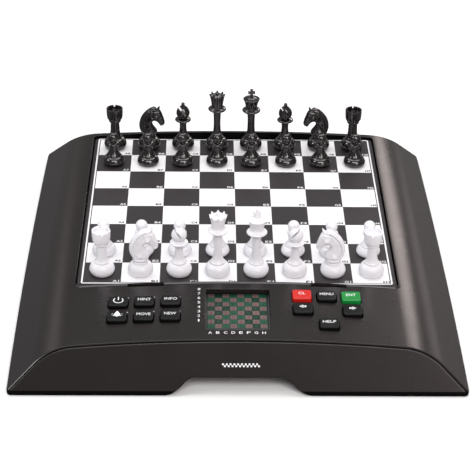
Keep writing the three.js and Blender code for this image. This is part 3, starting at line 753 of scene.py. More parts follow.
def build_door():
    door = slab("battery_door_panel", box_growing(DOOR_LOW, DOOR_HIGH, 1.2), DOOR_LOW.z, DOOR_HIGH.z, 0.25)
    cutters = []
    for i in range(5):
        y = DOOR_LOW.y + 4.0 + GRIP_PITCH * i
        width = GRIP_WIDTH - GRIP_TAPER * i
        cutters.append(raised("grip", centred_outline(0, y, width, 0.9, 0.4), 0, DOOR_LOW.z + 0.5))
    combine(door, "DIFFERENCE", *cutters)
    even_normals(door)
    place(door, "battery_door", "base", "battery_door", material=BASE_PLASTIC)


def build_feet():
    for name in FEET:
        low, high = box_mm(name)
        x, y, _ = (low + high) / 2
        foot = cylinder(f"{name}_pad", x, y, (high.x - low.x) / 2, low.z, high.z, 0.35)
        place(foot, "housing", "foot_rubber", name, material=RUBBER)


# ---- Parts inside ----
def build_insides():
    """The CAD forms of the flat parts inside serve as they are, with their own materials."""
    looks = {
        "sensor_membrane": FILM,
        "main_circuit_board": CIRCUIT,
        "keypad_left": SILICONE,
        "keypad_right": SILICONE,
    }
    for node, material in looks.items():
        mesh = bpy.data.objects[node].data
        mesh.materials.clear()
        mesh.materials.append(material)


def build_cells():
    """Three AA cells side by side, turned end for end: a printed jacket, steel ends and a button."""
    radius = (CELLS_HIGH.z - CELLS_LOW.z) / 2 - 0.02
    length = CELLS_HIGH.x - CELLS_LOW.x
    can_end = 0.7
    shoulder = length - 1.0
    profile = [
        [(0, 0), (0.8 * radius, 0)],
        [(0.8 * radius, 0), (radius - 0.3, 0.15), (radius - 0.1, can_end)],
        [(radius - 0.1, can_end), (radius, can_end)],
        [(radius, can_end), (radius, shoulder - 0.6)],
        [(radius, shoulder - 0.6), (radius - 0.25, shoulder - 0.1), (5.8, shoulder)],
        [(5.8, shoulder), (2.8, shoulder)],
        [(2.8, shoulder), (2.6, length - 0.2), (2.3, length)],
        [(2.3, length), (0, length)],
    ]
    count = 3
    cells = []
    for i in range(count):
        cell = turned("cell", profile, segments=40)
        for material in (JACKET, STEEL, KEY_BLACK):
            cell.data.materials.append(material)
        for face in cell.data.polygons:
            height = face.center.z / MM
            across = math.hypot(face.center.x, face.center.y) / MM
            if height < can_end or across < 5.6:
                face.material_index = 1
            elif height < 0.68 * length:
                face.material_index = 2
        side = 1 if i % 2 == 0 else -1
        turn = Matrix.Rotation(side * math.radians(90), 4, "Y")
        y = (CELLS_LOW.y + CELLS_HIGH.y) / 2 + 2 * radius * (i - (count - 1) / 2)
        start = Vector((-side * length / 2, y, (CELLS_LOW.z + CELLS_HIGH.z) / 2))
        cell.data.transform(Matrix.Translation(start * MM) @ turn)
        cells.append(cell)
    place(joined("battery_cell_set", cells), "housing", "battery_jacket", "battery_cells")


def build_speaker():
    """A small loudspeaker: a steel frame round a dark cone with a domed centre, facing the grille."""
    low, high = SPEAKER_LOW.z, SPEAKER_HIGH.z
    radius = SPEAKER_RADIUS
    profile = [
        [(0, 1.2), (1.6, 1.0), (3.2, 0.5)],
        [(3.2, 0.5), (3.8, 1.6)],
        [(3.8, 1.6), (0.82 * radius, 0.5)],
        [(0.82 * radius, 0.5), (0.86 * radius, 0), (radius, 0)],
        [(radius, 0), (radius, 1.2)],
        [(radius, 1.2), (0.62 * radius, 3.4)],
        [(0.62 * radius, 3.4), (0.62 * radius, high - low)],
        [(0.62 * radius, high - low), (0, high - low)],
    ]
    speaker = turned("speaker_body", profile)
    speaker.data.transform(Matrix.Translation(Vector((SPEAKER_X, SPEAKER_Y, low)) * MM))
    speaker.data.materials.append(STEEL)
    speaker.data.materials.append(KEY_BLACK)
    for face in speaker.data.polygons:
        across = math.hypot(face.center.x / MM - SPEAKER_X, face.center.y / MM - SPEAKER_Y)
        if face.center.z / MM < low + 2 and across < 0.82 * radius:
            face.material_index = 1
    place(speaker, "housing", "speaker", "speaker")


# ---- Board ----
PRINT_EDGE = BOARD_HALF - 1.05
BORDER_INNER = BOARD_HALF - 0.4
BORDER_WIDTH = 1.05
LABEL_WIDTH = 4.1
LABEL_HEIGHT = 2.4
LABEL_INSET = 1.2
FILES = "ABCDEFGH"
SQUARES = [(file, rank, FILES[file] + str(rank + 1)) for file in range(8) for rank in range(8)]


def chequered_sheet(name, xs, ys, z0, z1):
    """A thin sheet whose top is split at xs and ys, with its second material on every other cell."""
    columns = len(xs)
    points = [(x, y, z) for z in (z1, z0) for y in ys for x in xs]
    top = columns * len(ys)
    faces, picks = [], []
    for row in range(len(ys) - 1):
        for column in range(columns - 1):
            a = row * columns + column
            b = a + columns
            faces.append((a, a + 1, b + 1, b))
            faces.append((top + a, top + b, top + b + 1, top + a + 1))
            picks += [(column + row) % 2, 0]
    rim = list(range(columns)) + [row * columns + columns - 1 for row in range(1, len(ys))]
    rim += [len(ys) * columns - 1 - i for i in range(1, columns)]
    rim += [row * columns for row in range(len(ys) - 2, 0, -1)]
    for a, b in zip(rim, rim[1:] + rim[:1]):
        faces.append((top + a, top + b, b, a))
        picks.append(0)
    sheet = new_piece(name, points, faces)
    sheet.data.polygons.foreach_set("material_index", picks)
    return sheet


def build_board():
    outline = box_growing(PANEL_LOW, PANEL_HIGH, RECESS_CORNER - PANEL_GAP_SIDE)
    panel = slab("board_panel_body", outline, PANEL_LOW.z, PANEL_HIGH.z, 0.3)
    even_normals(panel)
    place(panel, "housing", "board_print", "board_panel", material=BOARD_DARK)

    lines = [-PRINT_EDGE, *(SQUARE * i for i in range(-3, 4)), PRINT_EDGE]
    ys = [BOARD_Y + line for line in lines]
    sheet = chequered_sheet("board_print", lines, ys, BOARD_TOP - 0.05, BOARD_TOP + INK)
    sheet.data.materials.append(BOARD_DARK)
    sheet.data.materials.append(BOARD_WHITE)
    place(sheet, "housing", "board_print")

    border = centred_growing(0, BOARD_Y, 2 * BORDER_INNER, 2 * BORDER_INNER, 0.4)
    line = printed_band("board_border", border(BORDER_WIDTH), border(0.0), BOARD_TOP)
    place(line, "housing", "board_print", material=BOARD_WHITE)

    labels = ([], [])
    for file, rank, name in SQUARES:
        x = SQUARE * (file - 3) - LABEL_INSET - LABEL_WIDTH / 2
        y = BOARD_Y + SQUARE * (rank - 4) + LABEL_INSET + LABEL_HEIGHT / 2
        dark_square = (file + rank) % 2 == 0
        weight = 0.012 if dark_square else 0.035
        label = lettering("label", name, x, y, LABEL_WIDTH, LABEL_HEIGHT, BOARD_TOP + INK, weight)
        labels[dark_square].append(label)
    place(joined("labels_on_white_squares", labels[0]), "housing", "board_print", material=INK_BLACK)
    place(joined("labels_on_dark_squares", labels[1]), "housing", "board_print", material=INK_WHITE)


# ---- Keys ----
LEGENDS = {
    "key_hint": ("HINT", 8.2),
    "key_info": ("INFO", 7.9),
    "key_move": ("MOVE", 8.8),
    "key_new": ("NEW", 7.4),
    "key_clear": ("CL", 4.4),
    "key_menu": ("MENU", 8.6),
    "key_enter": ("ENT", 6.2),
    "key_help": ("HELP", 8.2),
}
LEGEND_HEIGHT = 2.8
LEGEND_WEIGHT = 0.004
KEY_LOOKS = {"key_clear": (KEY_RED, "key_red"), "key_enter": (KEY_GREEN, "key_green")}


def power_symbol(x, y, z):
    """A ring that is open at the top, with an upright stroke in the gap."""
    outer = arc((x, y), 3.25, 135, 405, 28)
    inner = arc((x, y), 2.6, 405, 135, 28)
    ring = printed("power_ring", outer + inner, z)
    stroke = printed("power_stroke", centred_outline(x, y + 2.0, 0.65, 3.6, 0.3), z)
    return joined("power_symbol", [ring, stroke])


def lamp_symbol(x, y, z):
    """A bell-shaped lamp on a wide rim, with short rays on each side."""
    right = spline([(1.95, 0.3), (1.75, 1.9), (0.95, 3.3), (0.6, 4.3), (0.0, 4.8)])
    bell = right + mirrored(right[:-1])
    rim = centred_outline(x, y, 5.2, 1.0, 0.45)
    clapper = centred_outline(x, y - 0.8, 1.8, 0.8, 0.35)
    outlines = [[Vector((x + p.x, y + p.y)) for p in bell], rim, clapper]
    for side in (-1, 1):
        for rise in (0.4, 1.9):
            outlines.append(centred_outline(x + side * (3.3 - 0.2 * rise), y + rise, 0.7, 0.3, 0.12))
    return joined("lamp_symbol", [printed("lamp", outline, z) for outline in outlines])


def arrow_symbol(x, y, z, side):
    """An outlined arrow that points to one side."""
    outlines = []
    for tip, neck, wing, half, tail in ((-2.3, 0.1, 1.75, 0.85, 2.1), (-1.35, -0.45, 0.65, 0.3, 1.5)):
        upper = [(neck, wing), (neck, half), (tail, half)]
        points = [(tip, 0.0), *upper, *((px, -py) for px, py in reversed(upper))]
        outline = [Vector((x - side * px, y + py)) for px, py in points]
        outlines.append(outline if side > 0 else outline[::-1])
    return printed_band("arrow_symbol", *outlines, z)


def build_keys():
    for name, (low, high) in KEY_BOXES.items():
        x, y, _ = KEY_CENTRES[name]
        material, slot_name = KEY_LOOKS.get(name, (KEY_BLACK, "key_black"))
        outline = centred_growing(x, y, KEY_WIDTH, KEY_DEPTH, KEY_CORNER)
        cap = slab(f"{name}_cap", outline, low.z + 0.2, high.z, KEY_EDGE, draft=KEY_DRAFT)
        flange = raised("flange", box_growing(low, high, 1.0)(0.0), low.z, low.z + KEY_FLANGE)
        combine(cap, "UNION", flange)
        even_normals(cap)
        place(cap, name, slot_name, name, material=material)

        if name in LEGENDS:
            text, width = LEGENDS[name]
            legend = lettering("legend", text, x, y + 0.9, width, LEGEND_HEIGHT, high.z, LEGEND_WEIGHT)
        elif name == "key_power":
            legend = power_symbol(x, y + 0.7, high.z)
        elif name == "key_light":
            legend = lamp_symbol(x, y + 0.3, high.z)
        else:
            legend = arrow_symbol(x, y + 1.3, high.z, 1 if name == "key_forward" else -1)
        legend.name = f"{name}_legend"
        place(legend, name, slot_name, material=INK_WHITE)


# ---- Display ----
CELL_WIDTH, CELL_DEPTH = 4.7, 4.94
CELL_LINE = 0.35
FIGURE_SIZE = 1.35
GRID_X, GRID_Y = -0.3, -98.95
FRAME_X = -0.1
STRONG_CELLS = ("G7", "B6", "A5", "C5", "G5", "B4", "F4", "H4", "G3", "B2", "F2", "G1", "B8")
CELL_INKS = {"pale": (LCD_PALE, LCD_ROSE), "green": (LCD_GREEN, LCD_TEAL), "strong": (LCD_DARK, LCD_TEAL)}


def figure_outline(x, y, size):
    """A small standing figure: a round head on a flared body."""
    head = arc((x, y + 0.5 * size), 0.45 * size, -50, 230, 10)
    body = [(-0.22, 0.1), (-0.75, -0.75), (-0.75, -1.0), (0.75, -1.0), (0.75, -0.75), (0.22, 0.1)]
    return head + [Vector((x + px * size, y + py * size)) for px, py in body]


def build_display():
    outline = box_growing(MODULE_LOW, MODULE_HIGH, 1.0)
    body = slab("display_module_body", outline, MODULE_LOW.z, MODULE_HIGH.z, 0.3)
    place(body, "housing", "display", "display_module", material=LCD_BEZEL)

    top = MODULE_HIGH.z
    cells = {kind: [] for kind in CELL_INKS}
    figures = {kind: [] for kind in CELL_INKS}
    for file, rank, name in SQUARES:
        x = GRID_X + CELL_WIDTH * (file - 3.5)
        y = GRID_Y + CELL_DEPTH * (rank - 3.5)
        kind = "strong" if name in STRONG_CELLS else "pale" if (file + rank) % 2 else "green"
        outline = centred_outline(x, y, CELL_WIDTH - CELL_LINE, CELL_DEPTH - CELL_LINE, 0.25)
        cells[kind].append(raised("cell", outline, top - 0.05, top + INK))
        figures[kind].append(raised("figure", figure_outline(x, y, FIGURE_SIZE), top, top + 2 * INK))
    for kind, inks in CELL_INKS.items():
        place(joined(f"display_{kind}_cells", cells[kind]), "housing", "display", material=inks[0])
        place(joined(f"display_{kind}_figures", figures[kind]), "housing", "display", material=inks[1])
    outer = centred_outline(FRAME_X, GRID_Y, 39.9, 41.4, 0.4)
    inner = centred_outline(FRAME_X, GRID_Y, 39.0, 40.5, 0.2)
    place(printed_band("display_frame", outer, inner, top), "housing", "display", material=LCD_FRAME)

    outline = box_growing(WINDOW_LOW, WINDOW_HIGH, 0.6)
    window = slab("display_window_pane", outline, WINDOW_LOW.z, WINDOW_HIGH.z, 0.15)
    place(window, "housing", "display_window", "display_window", material=GLASS)


# ---- Print on the deck and the front ----
DOTS = [(x, y) for x in (-69.0, -52.5, -36.3) for y in (-90.0, -106.4)]
FILE_LETTERS_X, FILE_LETTERS_Y, FILE_PITCH = -17.3, -130.8, 4.705
RANK_DIGITS_X, RANK_DIGITS_Y, RANK_PITCH = -24.4, -117.2, 5.1
EMBLEM_HEIGHT = 17.8
EMBLEM_X = 1.5
EMBLEM_COLUMNS = 20
TILE = 1.15


def build_prints():
    marks = []
    for i in range(8):
        file_x = FILE_LETTERS_X + FILE_PITCH * i
        marks.append(lettering("file", FILES[i], file_x, FILE_LETTERS_Y, 2.25, 2.5, weight=0.006))
        rank_y = RANK_DIGITS_Y + RANK_PITCH * i
        width = 1.75 if i else 0.9
        marks.append(lettering("rank", str(i + 1), RANK_DIGITS_X, rank_y, width, 2.6, weight=0.0))
    marks += [printed("dot", circle(dot, 0.35, 12)) for dot in DOTS]
    place(follow_deck(joined("deck_print", marks)), "housing", "housing", material=INK_WHITE)

    tiles = []
    for column in range(EMBLEM_COLUMNS):
        for row in range(2):
            if (column + row) % 2:
                x = TILE * (column - (EMBLEM_COLUMNS - 1) / 2) + EMBLEM_X
                y = TILE * (row - 0.5)
                tiles.append(printed("tile", centred_outline(x, y, 0.96 * TILE, 0.96 * TILE, 0.1)))
    strip = joined("front_emblem", tiles)
    strip.data.transform(Matrix.Rotation(END, 4, "X"))
    spot = Vector((0, -front_plane(EMBLEM_HEIGHT), EMBLEM_HEIGHT))
    strip.data.transform(Matrix.Translation(spot * MM))
    place(strip, "housing", "housing", material=INK_WHITE)


# ---- Chess pieces ----
# Profiles are (radius, height) stretches; each stretch is one smooth curve.
FOOT = [
    [(0, 0), (6.3, 0)],
    [(6.3, 0), (7.3, 0.6), (8.05, 2.2), (8.2, 3.8), (7.75, 5.6), (6.9, 7.0), (5.8, 7.9), (4.75, 8.4)],
    [(4.75, 8.4), (5.0, 8.75), (4.95, 9.3), (4.6, 9.7)],
]
PAWN = [
    [(0, 0), (6.0, 0)],
    [(6.0, 0), (6.9, 0.5), (7.7, 1.6), (7.9, 2.8), (7.5, 4.3), (6.6, 5.6), (5.2, 6.5)],
    [(5.2, 6.5), (5.35, 6.9), (5.2, 7.5), (4.8, 7.9)],
    [(4.8, 7.9), (3.8, 9.6), (3.05, 12.0), (2.7, 14.6)],
    [(2.7, 14.6), (3.9, 15.0), (4.45, 15.7), (4.4, 16.4), (3.7, 17.1), (2.5, 17.7)],
    [(2.5, 17.7), (2.4, 17.95), (3.35, 19.0), (3.9, 21.0), (3.38, 22.95), (1.95, 24.38), (0, 24.9)],
]
KING = FOOT + [
    [(4.6, 9.7), (3.65, 11.4), (2.95, 14.0), (2.65, 18.0), (2.65, 24.0), (2.95, 29.3)],
    [(2.95, 29.3), (4.6, 29.7), (6.2, 30.5), (6.7, 31.2), (6.2, 31.9), (4.9, 32.5), (4.3, 33.1)],
    [(4.3, 33.1), (4.25, 34.0), (4.5, 35.8), (5.1, 38.0), (6.0, 40.0)],
    [(6.0, 40.0), (6.05, 40.3), (5.7, 40.55), (4.9, 40.6)],
    [(4.9, 40.6), (3.6, 40.9), (2.2, 41.5), (1.2, 42.0)],
    [(1.2, 42.0), (1.45, 42.5), (1.3, 43.1), (0, 43.5)],
]
QUEEN = FOOT + [
    [(4.6, 9.7), (3.55, 11.4), (2.85, 14.0), (2.55, 18.0), (2.55, 25.0), (2.9, 30.3)],
    [(2.9, 30.3), (4.6, 30.7), (6.1, 31.4), (6.6, 32.1), (6.1, 32.8), (4.8, 33.4), (4.2, 34.0)],
    [(4.2, 34.0), (4.15, 35.0), (4.4, 37.4), (4.95, 40.5), (5.85, 43.9)],
    [(5.85, 43.9), (5.4, 44.0), (4.75, 43.8)],
    [(4.75, 43.8), (4.35, 42.6), (3.6, 42.1)],
    [(3.6, 42.1), (2.3, 42.5), (1.0, 43.2)],
    [(1.0, 43.2), (1.35, 43.8), (1.3, 44.6), (0.8, 45.2), (0, 45.4)],
]
BISHOP = FOOT + [
    [(4.6, 9.7), (3.45, 11.4), (2.75, 14.0), (2.45, 17.5), (2.6, 21.7)],
    [(2.6, 21.7), (4.2, 22.0), (5.5, 22.7), (5.9, 23.3), (5.5, 23.9), (4.2, 24.4), (3.1, 24.9)],
    [
        (3.1, 24.9), (4.1, 26.1), (4.8, 27.7), (4.9, 29.3),
        (4.35, 31.2), (3.1, 33.0), (1.7, 34.3), (1.0, 34.9),
    ],
    [(1.0, 34.9), (1.25, 35.4), (1.2, 36.2), (0.75, 36.8), (0, 37.0)],
]
ROOK = FOOT + [
    [(4.6, 9.7), (3.95, 11.0), (3.5, 13.2), (3.3, 17.0), (3.15, 20.9)],
    [(3.15, 20.9), (4.0, 21.3), (4.45, 22.0), (4.35, 22.8), (4.1, 23.2)],
    [(4.1, 23.2), (4.95, 23.6), (5.5, 24.5), (5.8, 26.0), (5.95, 28.6), (6.0, 31.7)],
    [(6.0, 31.7), (5.95, 31.9), (5.75, 31.95), (4.9, 31.95), (4.75, 31.8)],
    [(4.75, 31.8), (4.6, 29.4)],
    [(4.6, 29.4), (0, 29.2)],
]
KNIGHT_STAND = FOOT + [
    [(4.6, 9.7), (4.0, 9.9), (3.75, 10.25), (3.95, 10.6), (4.6, 10.85)],
    [(4.6, 10.85), (5.1, 11.0), (5.1, 11.6), (4.6, 11.8)],
    [(4.6, 11.8), (0, 11.8)],
]


def cut_round(piece, count, first, outline, near, far):
    """Cuts a (across, height) outline out of a piece between two radii, evenly round its axis."""
    cutters = []
    for i in range(count):
        cutter = loft("cutter", [[(radius, *point) for point in outline] for radius in (near, far)])
        cutter.data.transform(Matrix.Rotation(2 * math.pi * (i + first) / count, 4, "Z"))
        cutters.append(cutter)
    return combine(piece, "DIFFERENCE", *cutters)


def build_pawn():
    return turned("pawn_form", PAWN)


def build_king():
    king = turned("king_form", KING)
    centre, reach, thickness = 45.3, 2.5, 0.85
    arm = [Vector((0.6, 0.72)), Vector((reach - 0.2, 1.15)), Vector((reach, 1.0))]
    arm += [Vector((p.x, -p.y)) for p in reversed(arm)][:-1]
    quarters = [Matrix.Rotation(-math.radians(90) * i, 2) for i in range(4)]
    outline = [turn @ p for turn in quarters for p in arm]
    flat = thickness - 0.15
    loops = []
    for y, scale in ((-thickness, 0.93), (-flat, 1.0), (flat, 1.0), (thickness, 0.93)):
        loops.append([(p.x * scale, y, centre + p.y * scale) for p in outline])
    return combine(king, "UNION", loft("cross", loops))


def build_queen():
    coronet_edge, scallop_radius, scallops = 44.2, 1.85, 8
    scallop = [(p.x, coronet_edge + p.y) for p in circle((0, 0), scallop_radius, 16)]
    return cut_round(turned("queen_form", QUEEN), scallops, 0.5, scallop, 3.0, 8.0)


def build_bishop():
    half, lean = 0.65, math.radians(32)
    slot = raised("slot", [Vector(p) for p in ((-half, -7), (half, -7), (half, 7), (-half, 7))], -1.0, 8.0)
    slot.data.transform(Matrix.Rotation(lean, 4, "Y"))
    slot.data.transform(Matrix.Translation(Vector((0.2, 0, 28.9)) * MM))
    return combine(turned("bishop_form", BISHOP), "DIFFERENCE", slot)


def build_rook():
    gap = [(-0.5, 30.4), (0.5, 30.4), (0.6, 34.0), (-0.6, 34.0)]
    return cut_round(turned("rook_form", ROOK), 4, 0, gap, 3.5, 8.0)


# The knight's head from the side, facing +X: each stretch of its outline is one smooth curve.
KNIGHT_BACK = [(-4.4, 10.6), (-5.0, 11.9), (-6.4, 14.4), (-7.2, 18.0), (-6.8, 22.0), (-5.2, 26.0)]
KNIGHT_BACK += [(-2.6, 29.4), (0.6, 32.0), (3.4, 33.1), (5.0, 33.0)]
KNIGHT_FACE = [(5.0, 33.0), (5.8, 31.9), (7.4, 31.4), (8.6, 30.2), (10.1, 26.6), (11.2, 23.2), (11.6, 21.2)]
KNIGHT_MOUTH = [(11.6, 21.2), (11.4, 19.8), (10.7, 18.8), (9.6, 18.3), (8.6, 17.9)]
KNIGHT_JAW = [(8.6, 17.9), (7.6, 19.2), (6.6, 20.6), (5.0, 21.9), (3.5, 22.1), (2.6, 21.2)]
KNIGHT_JAW += [(2.6, 19.6), (3.6, 17.7)]
KNIGHT_CHEST = [(3.6, 17.7), (5.3, 15.5), (6.0, 13.7), (5.4, 12.1), (4.4, 10.6)]
KNIGHT_PARTS = (KNIGHT_BACK, KNIGHT_FACE, KNIGHT_MOUTH, KNIGHT_JAW, KNIGHT_CHEST)

# Half the head's breadth at places on it: (x, z, half breadth).
KNIGHT_BREADTH = [(0.0, 10.6, 4.7), (0.5, 13.0, 4.5), (-4.0, 15.0, 3.6), (3.5, 15.0, 3.5)]
KNIGHT_BREADTH += [(-1.5, 17.5, 3.1), (-5.5, 19.0, 3.1), (-2.0, 22.0, 2.7), (-5.0, 24.0, 3.0)]
KNIGHT_BREADTH += [(1.0, 26.5, 2.6), (0.0, 30.5, 2.6), (3.5, 32.0, 2.1), (5.0, 25.5, 3.3)]
KNIGHT_BREADTH += [(6.5, 29.0, 2.7), (8.4, 24.8, 2.3), (9.5, 21.5, 1.9), (10.8, 20.0, 1.7)]

# Hills and hollows on its side: (height, (x, z), radius).
KNIGHT_BUMPS = {
    "cheek": (0.65, (5.0, 25.2), 2.2),
    "eyeball": (0.5, (7.7, 28.0), 0.6),
    "eye_socket": (-0.55, (7.0, 28.6), 0.55),
    "nostril": (-0.55, (10.7, 21.4), 0.4),
    "lip": (0.4, (9.6, 19.2), 0.8),
}
KNIGHT_MOUTH_LINE = [(11.6, 19.9), (10.2, 20.1), (9.0, 20.6)]
KNIGHT_JAW_LINE = [(6.4, 22.6), (4.2, 23.4), (2.4, 25.4), (2.0, 28.0), (3.4, 30.2)]
MANE_BREADTH = 2.4


def distances(points, line):
    """The distance from each point to a broken line."""
    best = np.full(len(points), np.inf)
    for a, b in zip(line, line[1:]):
        a, b = np.array(a), np.array(b)
        span = b - a
        along = np.clip(((points - a) @ span) / max(span @ span, 1e-9), 0, 1)
        best = np.minimum(best, np.linalg.norm(points - a - along[:, None] * span, axis=1))
    return best


def groove(distance, at, width):
    return np.exp(-(((distance - at) / width) ** 2))


def knight_breadth(points, outline, back):
    """Half the breadth of the head at each point: rounded to nothing at its outline, with its relief."""
    centres = np.array([entry[:2] for entry in KNIGHT_BREADTH])
    values = np.array([entry[2] for entry in KNIGHT_BREADTH])
    gaps = np.linalg.norm(points[:, None, :] - centres[None, :, :], axis=2)
    weights = 1 / (gaps**2 + 0.6) ** 1.5
    breadth = (weights @ values) / weights.sum(axis=1)
    edge = distances(points, outline)
    roundness = np.sqrt(np.clip(1 - (1 - np.clip(edge / (0.85 * breadth), 0, 1)) ** 2, 0, 1))
    from_back = distances(points, back)
    mane = np.sqrt(np.clip(1 - (from_back / MANE_BREADTH) ** 8, 0, 1))
    relief = 0.65 * (from_back < MANE_BREADTH) * mane
    relief -= 0.45 * groove(from_back, 1.15, 0.25)
    relief -= 0.55 * groove(from_back, 2.8, 0.5)
    relief -= 0.6 * groove(distances(points, KNIGHT_MOUTH_LINE), 0, 0.22)
    relief -= 0.5 * groove(distances(points, KNIGHT_JAW_LINE), 0, 0.4)
    for height, centre, radius in KNIGHT_BUMPS.values():
        reach = np.linalg.norm(points - np.array(centre), axis=1) / radius
        relief += height * np.exp(-2.5 * reach**2)

    # The relief fades out towards the round stand.
    fade = np.clip((points[:, 1] - 11.6) / 1.2, 0, 1)
    return roundness * (breadth + relief * fade)


def build_knight():
    curves = [spline(part, 10) for part in KNIGHT_PARTS]
    back = [p.to_tuple() for p in curves[0]]
    outline = [p.to_tuple() for curve in curves for p in curve[:-1]] + [curves[-1][-1].to_tuple()]
    closed = outline + outline[:1]

    # Its face is filled with a triangular grid of points, and two rows that follow the outline closely.
    pitch = 0.36
    row_pitch = 0.866 * pitch
    grid = []
    for row in range(int(24 / row_pitch)):
        grid += [(-8 + pitch * (i + row % 2 / 2), 10.5 + row_pitch * row) for i in range(56)]
    depth = distances(np.array(grid), closed)
    kept = [p for p, d in zip(grid, depth) if d > 0.3 and inside(p, outline)]
    polygon = [Vector(p) for p in outline]
    edging = []
    for step in (0.06, 0.18):
        for before, p, after in zip(polygon[-1:] + polygon[:-1], polygon, polygon[1:] + polygon[:1]):
            along = (after - before).normalized()
            q = p + step * Vector((along.y, -along.x))
            if inside(q, outline):
                edging.append(q.to_tuple())
    points = [Vector(p) for p in outline + edging + kept]
    rim = [(i, (i + 1) % len(outline)) for i in range(len(outline))]
    flat = geometry.delaunay_2d_cdt(points, rim, [], 1, 1e-5)
    places = np.array([p.to_tuple() for p in flat[0]])
    halves = knight_breadth(places, closed, back)
    halves[distances(places, closed) < 1e-4] = 0.0

    whole = bmesh.new()
    for side in (-1, 1):
        corners = [whole.verts.new((x * MM, side * y * MM, z * MM)) for (x, z), y in zip(places, halves)]
        for face in flat[2]:
            order = face if side < 0 else face[::-1]
            whole.faces.new([corners[i] for i in order])
    bmesh.ops.remove_doubles(whole, verts=whole.verts, dist=0.0001 * MM)
    bmesh.ops.recalc_face_normals(whole, faces=whole.faces)
    head = new_object("knight_head", mesh_of(whole, "knight_head"))

    ears = []
    for side in (-1, 1):
        loops = []
        for t in (0.0, 0.35, 0.7, 0.92, 1.0):
            size = 1.25 * (1 - t) ** 0.7 + 0.06
            x, y, z = 6.3 + 1.7 * t, side * (1.15 + 0.25 * t), 30.7 + 2.9 * t
            loops.append([(x + 0.9 * size * p.x, y + 0.6 * size * p.y, z) for p in circle((0, 0), 1, 14)])
        ears.append(loft("ear", loops))
    knight = turned("knight_form", KNIGHT_STAND)
    return combine(knight, "UNION", head, *ears, smooth_angle=50)


def inside(point, outline):
    """Whether a point lies in a closed outline."""
    x, y = point
    count = 0
    for (x0, y0), (x1, y1) in zip(outline, outline[1:] + outline[:1]):
        if (y0 > y) != (y1 > y) and x < x0 + (x1 - x0) * (y - y0) / (y1 - y0):
            count += 1
    return count % 2 == 1


FORMS = {
    "pawn": build_pawn,
    "rook": build_rook,
    "knight": build_knight,
    "bishop": build_bishop,
    "queen": build_queen,
    "king": build_king,
}
# How far round each piece stands, in degrees; the slot of a bishop opens away from 0.
TURNS = {
    "knight_g1": 180,
    "knight_g8": 180,
    "bishop_c1": 196,
    "bishop_f1": 325,
    "bishop_c8": 200,
    "bishop_f8": 205,
    "rook_a1": 12,
    "rook_h1": 352,
    "rook_a8": 4,
    "rook_h8": 2,
}


def build_pieces():
    meshes = {}
    for kind, build in FORMS.items():
        form = build()
        for colour, material in (("white", PIECE_WHITE), ("black", PIECE_BLACK)):
            mesh = form.data.copy()
            mesh.name = f"{colour}_{kind}_mesh"
            mesh.materials.clear()
            mesh.materials.append(material)
            meshes[colour, kind] = mesh
        bpy.data.objects.remove(form)
    for node in sorted(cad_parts):
        colour, _, rest = node.partition("_")
        kind, _, square = rest.partition("_")
        if (colour, kind) not in meshes:
            continue
        piece = new_object(f"{node}_figure", meshes[colour, kind])
        x = SQUARE * ("abcdefgh".index(square[0]) - 3.5)
        y = BOARD_Y + SQUARE * (int(square[1]) - 4.5)
        piece.location = Vector((x, y, box_mm(node)[0].z)) * MM
        piece.rotation_euler.z = math.radians(TURNS.get(rest, 0))
        place(piece, node, f"piece_{colour}", node)


build_top_shell()
build_base()
build_screws()
build_door()
build_feet()
build_insides()
build_cells()
build_speaker()
build_board()
build_keys()
build_display()
build_prints()
build_pieces()

# ---- Camera and lights, in metres ----
CAMERA_PLACE = (-0.01946, -0.9712, 0.60146)
CAMERA_TILT, CAMERA_ROLL, CAMERA_PAN = (math.radians(angle) for angle in (59.16236, -0.7577, -0.74962))
CAMERA_LENS = 126.13
FLOOR_HALF = 9.0 / MM
WHITE = (1.0, 1.0, 1.0)
WARM = (1.0, 0.88, 0.84)
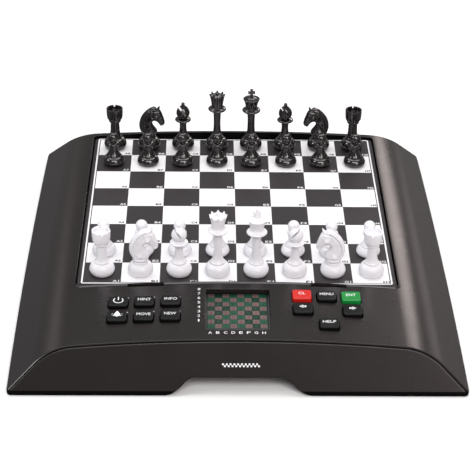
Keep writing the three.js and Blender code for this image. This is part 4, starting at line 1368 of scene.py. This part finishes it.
# Each light: name, place, width, height, power, colour. All face the middle of the object's foot.
LIGHTS = (
    ("overhead", (0, 0.8, 2.2), 2.8, 1.5, 40, WHITE),
    ("front_high", (0.1, -1.7, 1.95), 2.0, 0.8, 30, WHITE),
    ("rear_left", (-1.7, 2.2, 1.3), 0.9, 0.7, 2, WARM),
    ("rear_right", (0.97, 2.1, 1.05), 0.5, 0.6, 6, WARM),
    ("right_side", (1.7, 1.9, 0.28), 1.0, 0.5, 1.5, WARM),
    ("left_side", (-2.3, -0.45, 1.9), 0.5, 0.5, 15, WHITE),
    ("right_front", (1.25, -1.9, 1.55), 0.5, 0.5, 10, WARM),
    ("right_low", (0.85, -1.95, 0.75), 0.5, 0.8, 6, WARM),
)


def build_camera():
    camera = new_object("camera", bpy.data.cameras.new("camera"))
    camera.data.lens = CAMERA_LENS
    turn = Euler((CAMERA_TILT, CAMERA_ROLL, CAMERA_PAN)).to_matrix().to_4x4()
    camera.matrix_world = Matrix.Translation(CAMERA_PLACE) @ turn
    bpy.context.scene.camera = camera
    bpy.context.scene.view_settings.view_transform = "Standard"


def build_floor():
    corners = [(x * FLOOR_HALF, y * FLOOR_HALF, 0) for x, y in ((-1, -1), (1, -1), (1, 1), (-1, 1))]
    floor = new_piece("floor", corners, [(0, 1, 2, 3)])
    material = bpy.data.materials.new("floor_paper")
    material.use_nodes = True
    set_shader(material, "Base Color", (0.92, 0.92, 0.92, 1.0))
    set_shader(material, "Roughness", 0.9)
    floor.data.materials.append(material)
    floor.visible_glossy = False


def build_lights():
    world = bpy.data.worlds.new("studio")
    world.use_nodes = True
    background = world.node_tree.nodes["Background"]
    background.inputs["Color"].default_value = (*WHITE, 1.0)
    background.inputs["Strength"].default_value = 0.24
    bpy.context.scene.world = world
    for name, position, width, height, power, colour in LIGHTS:
        light = new_object(name, bpy.data.lights.new(name, "AREA"))
        light.data.shape = "RECTANGLE"
        light.data.size = width
        light.data.size_y = height
        light.data.energy = power
        light.data.color = colour
        light.location = position
        light.rotation_euler = (-Vector(position)).to_track_quat("-Z", "Y").to_euler()


build_camera()
build_floor()
build_lights()
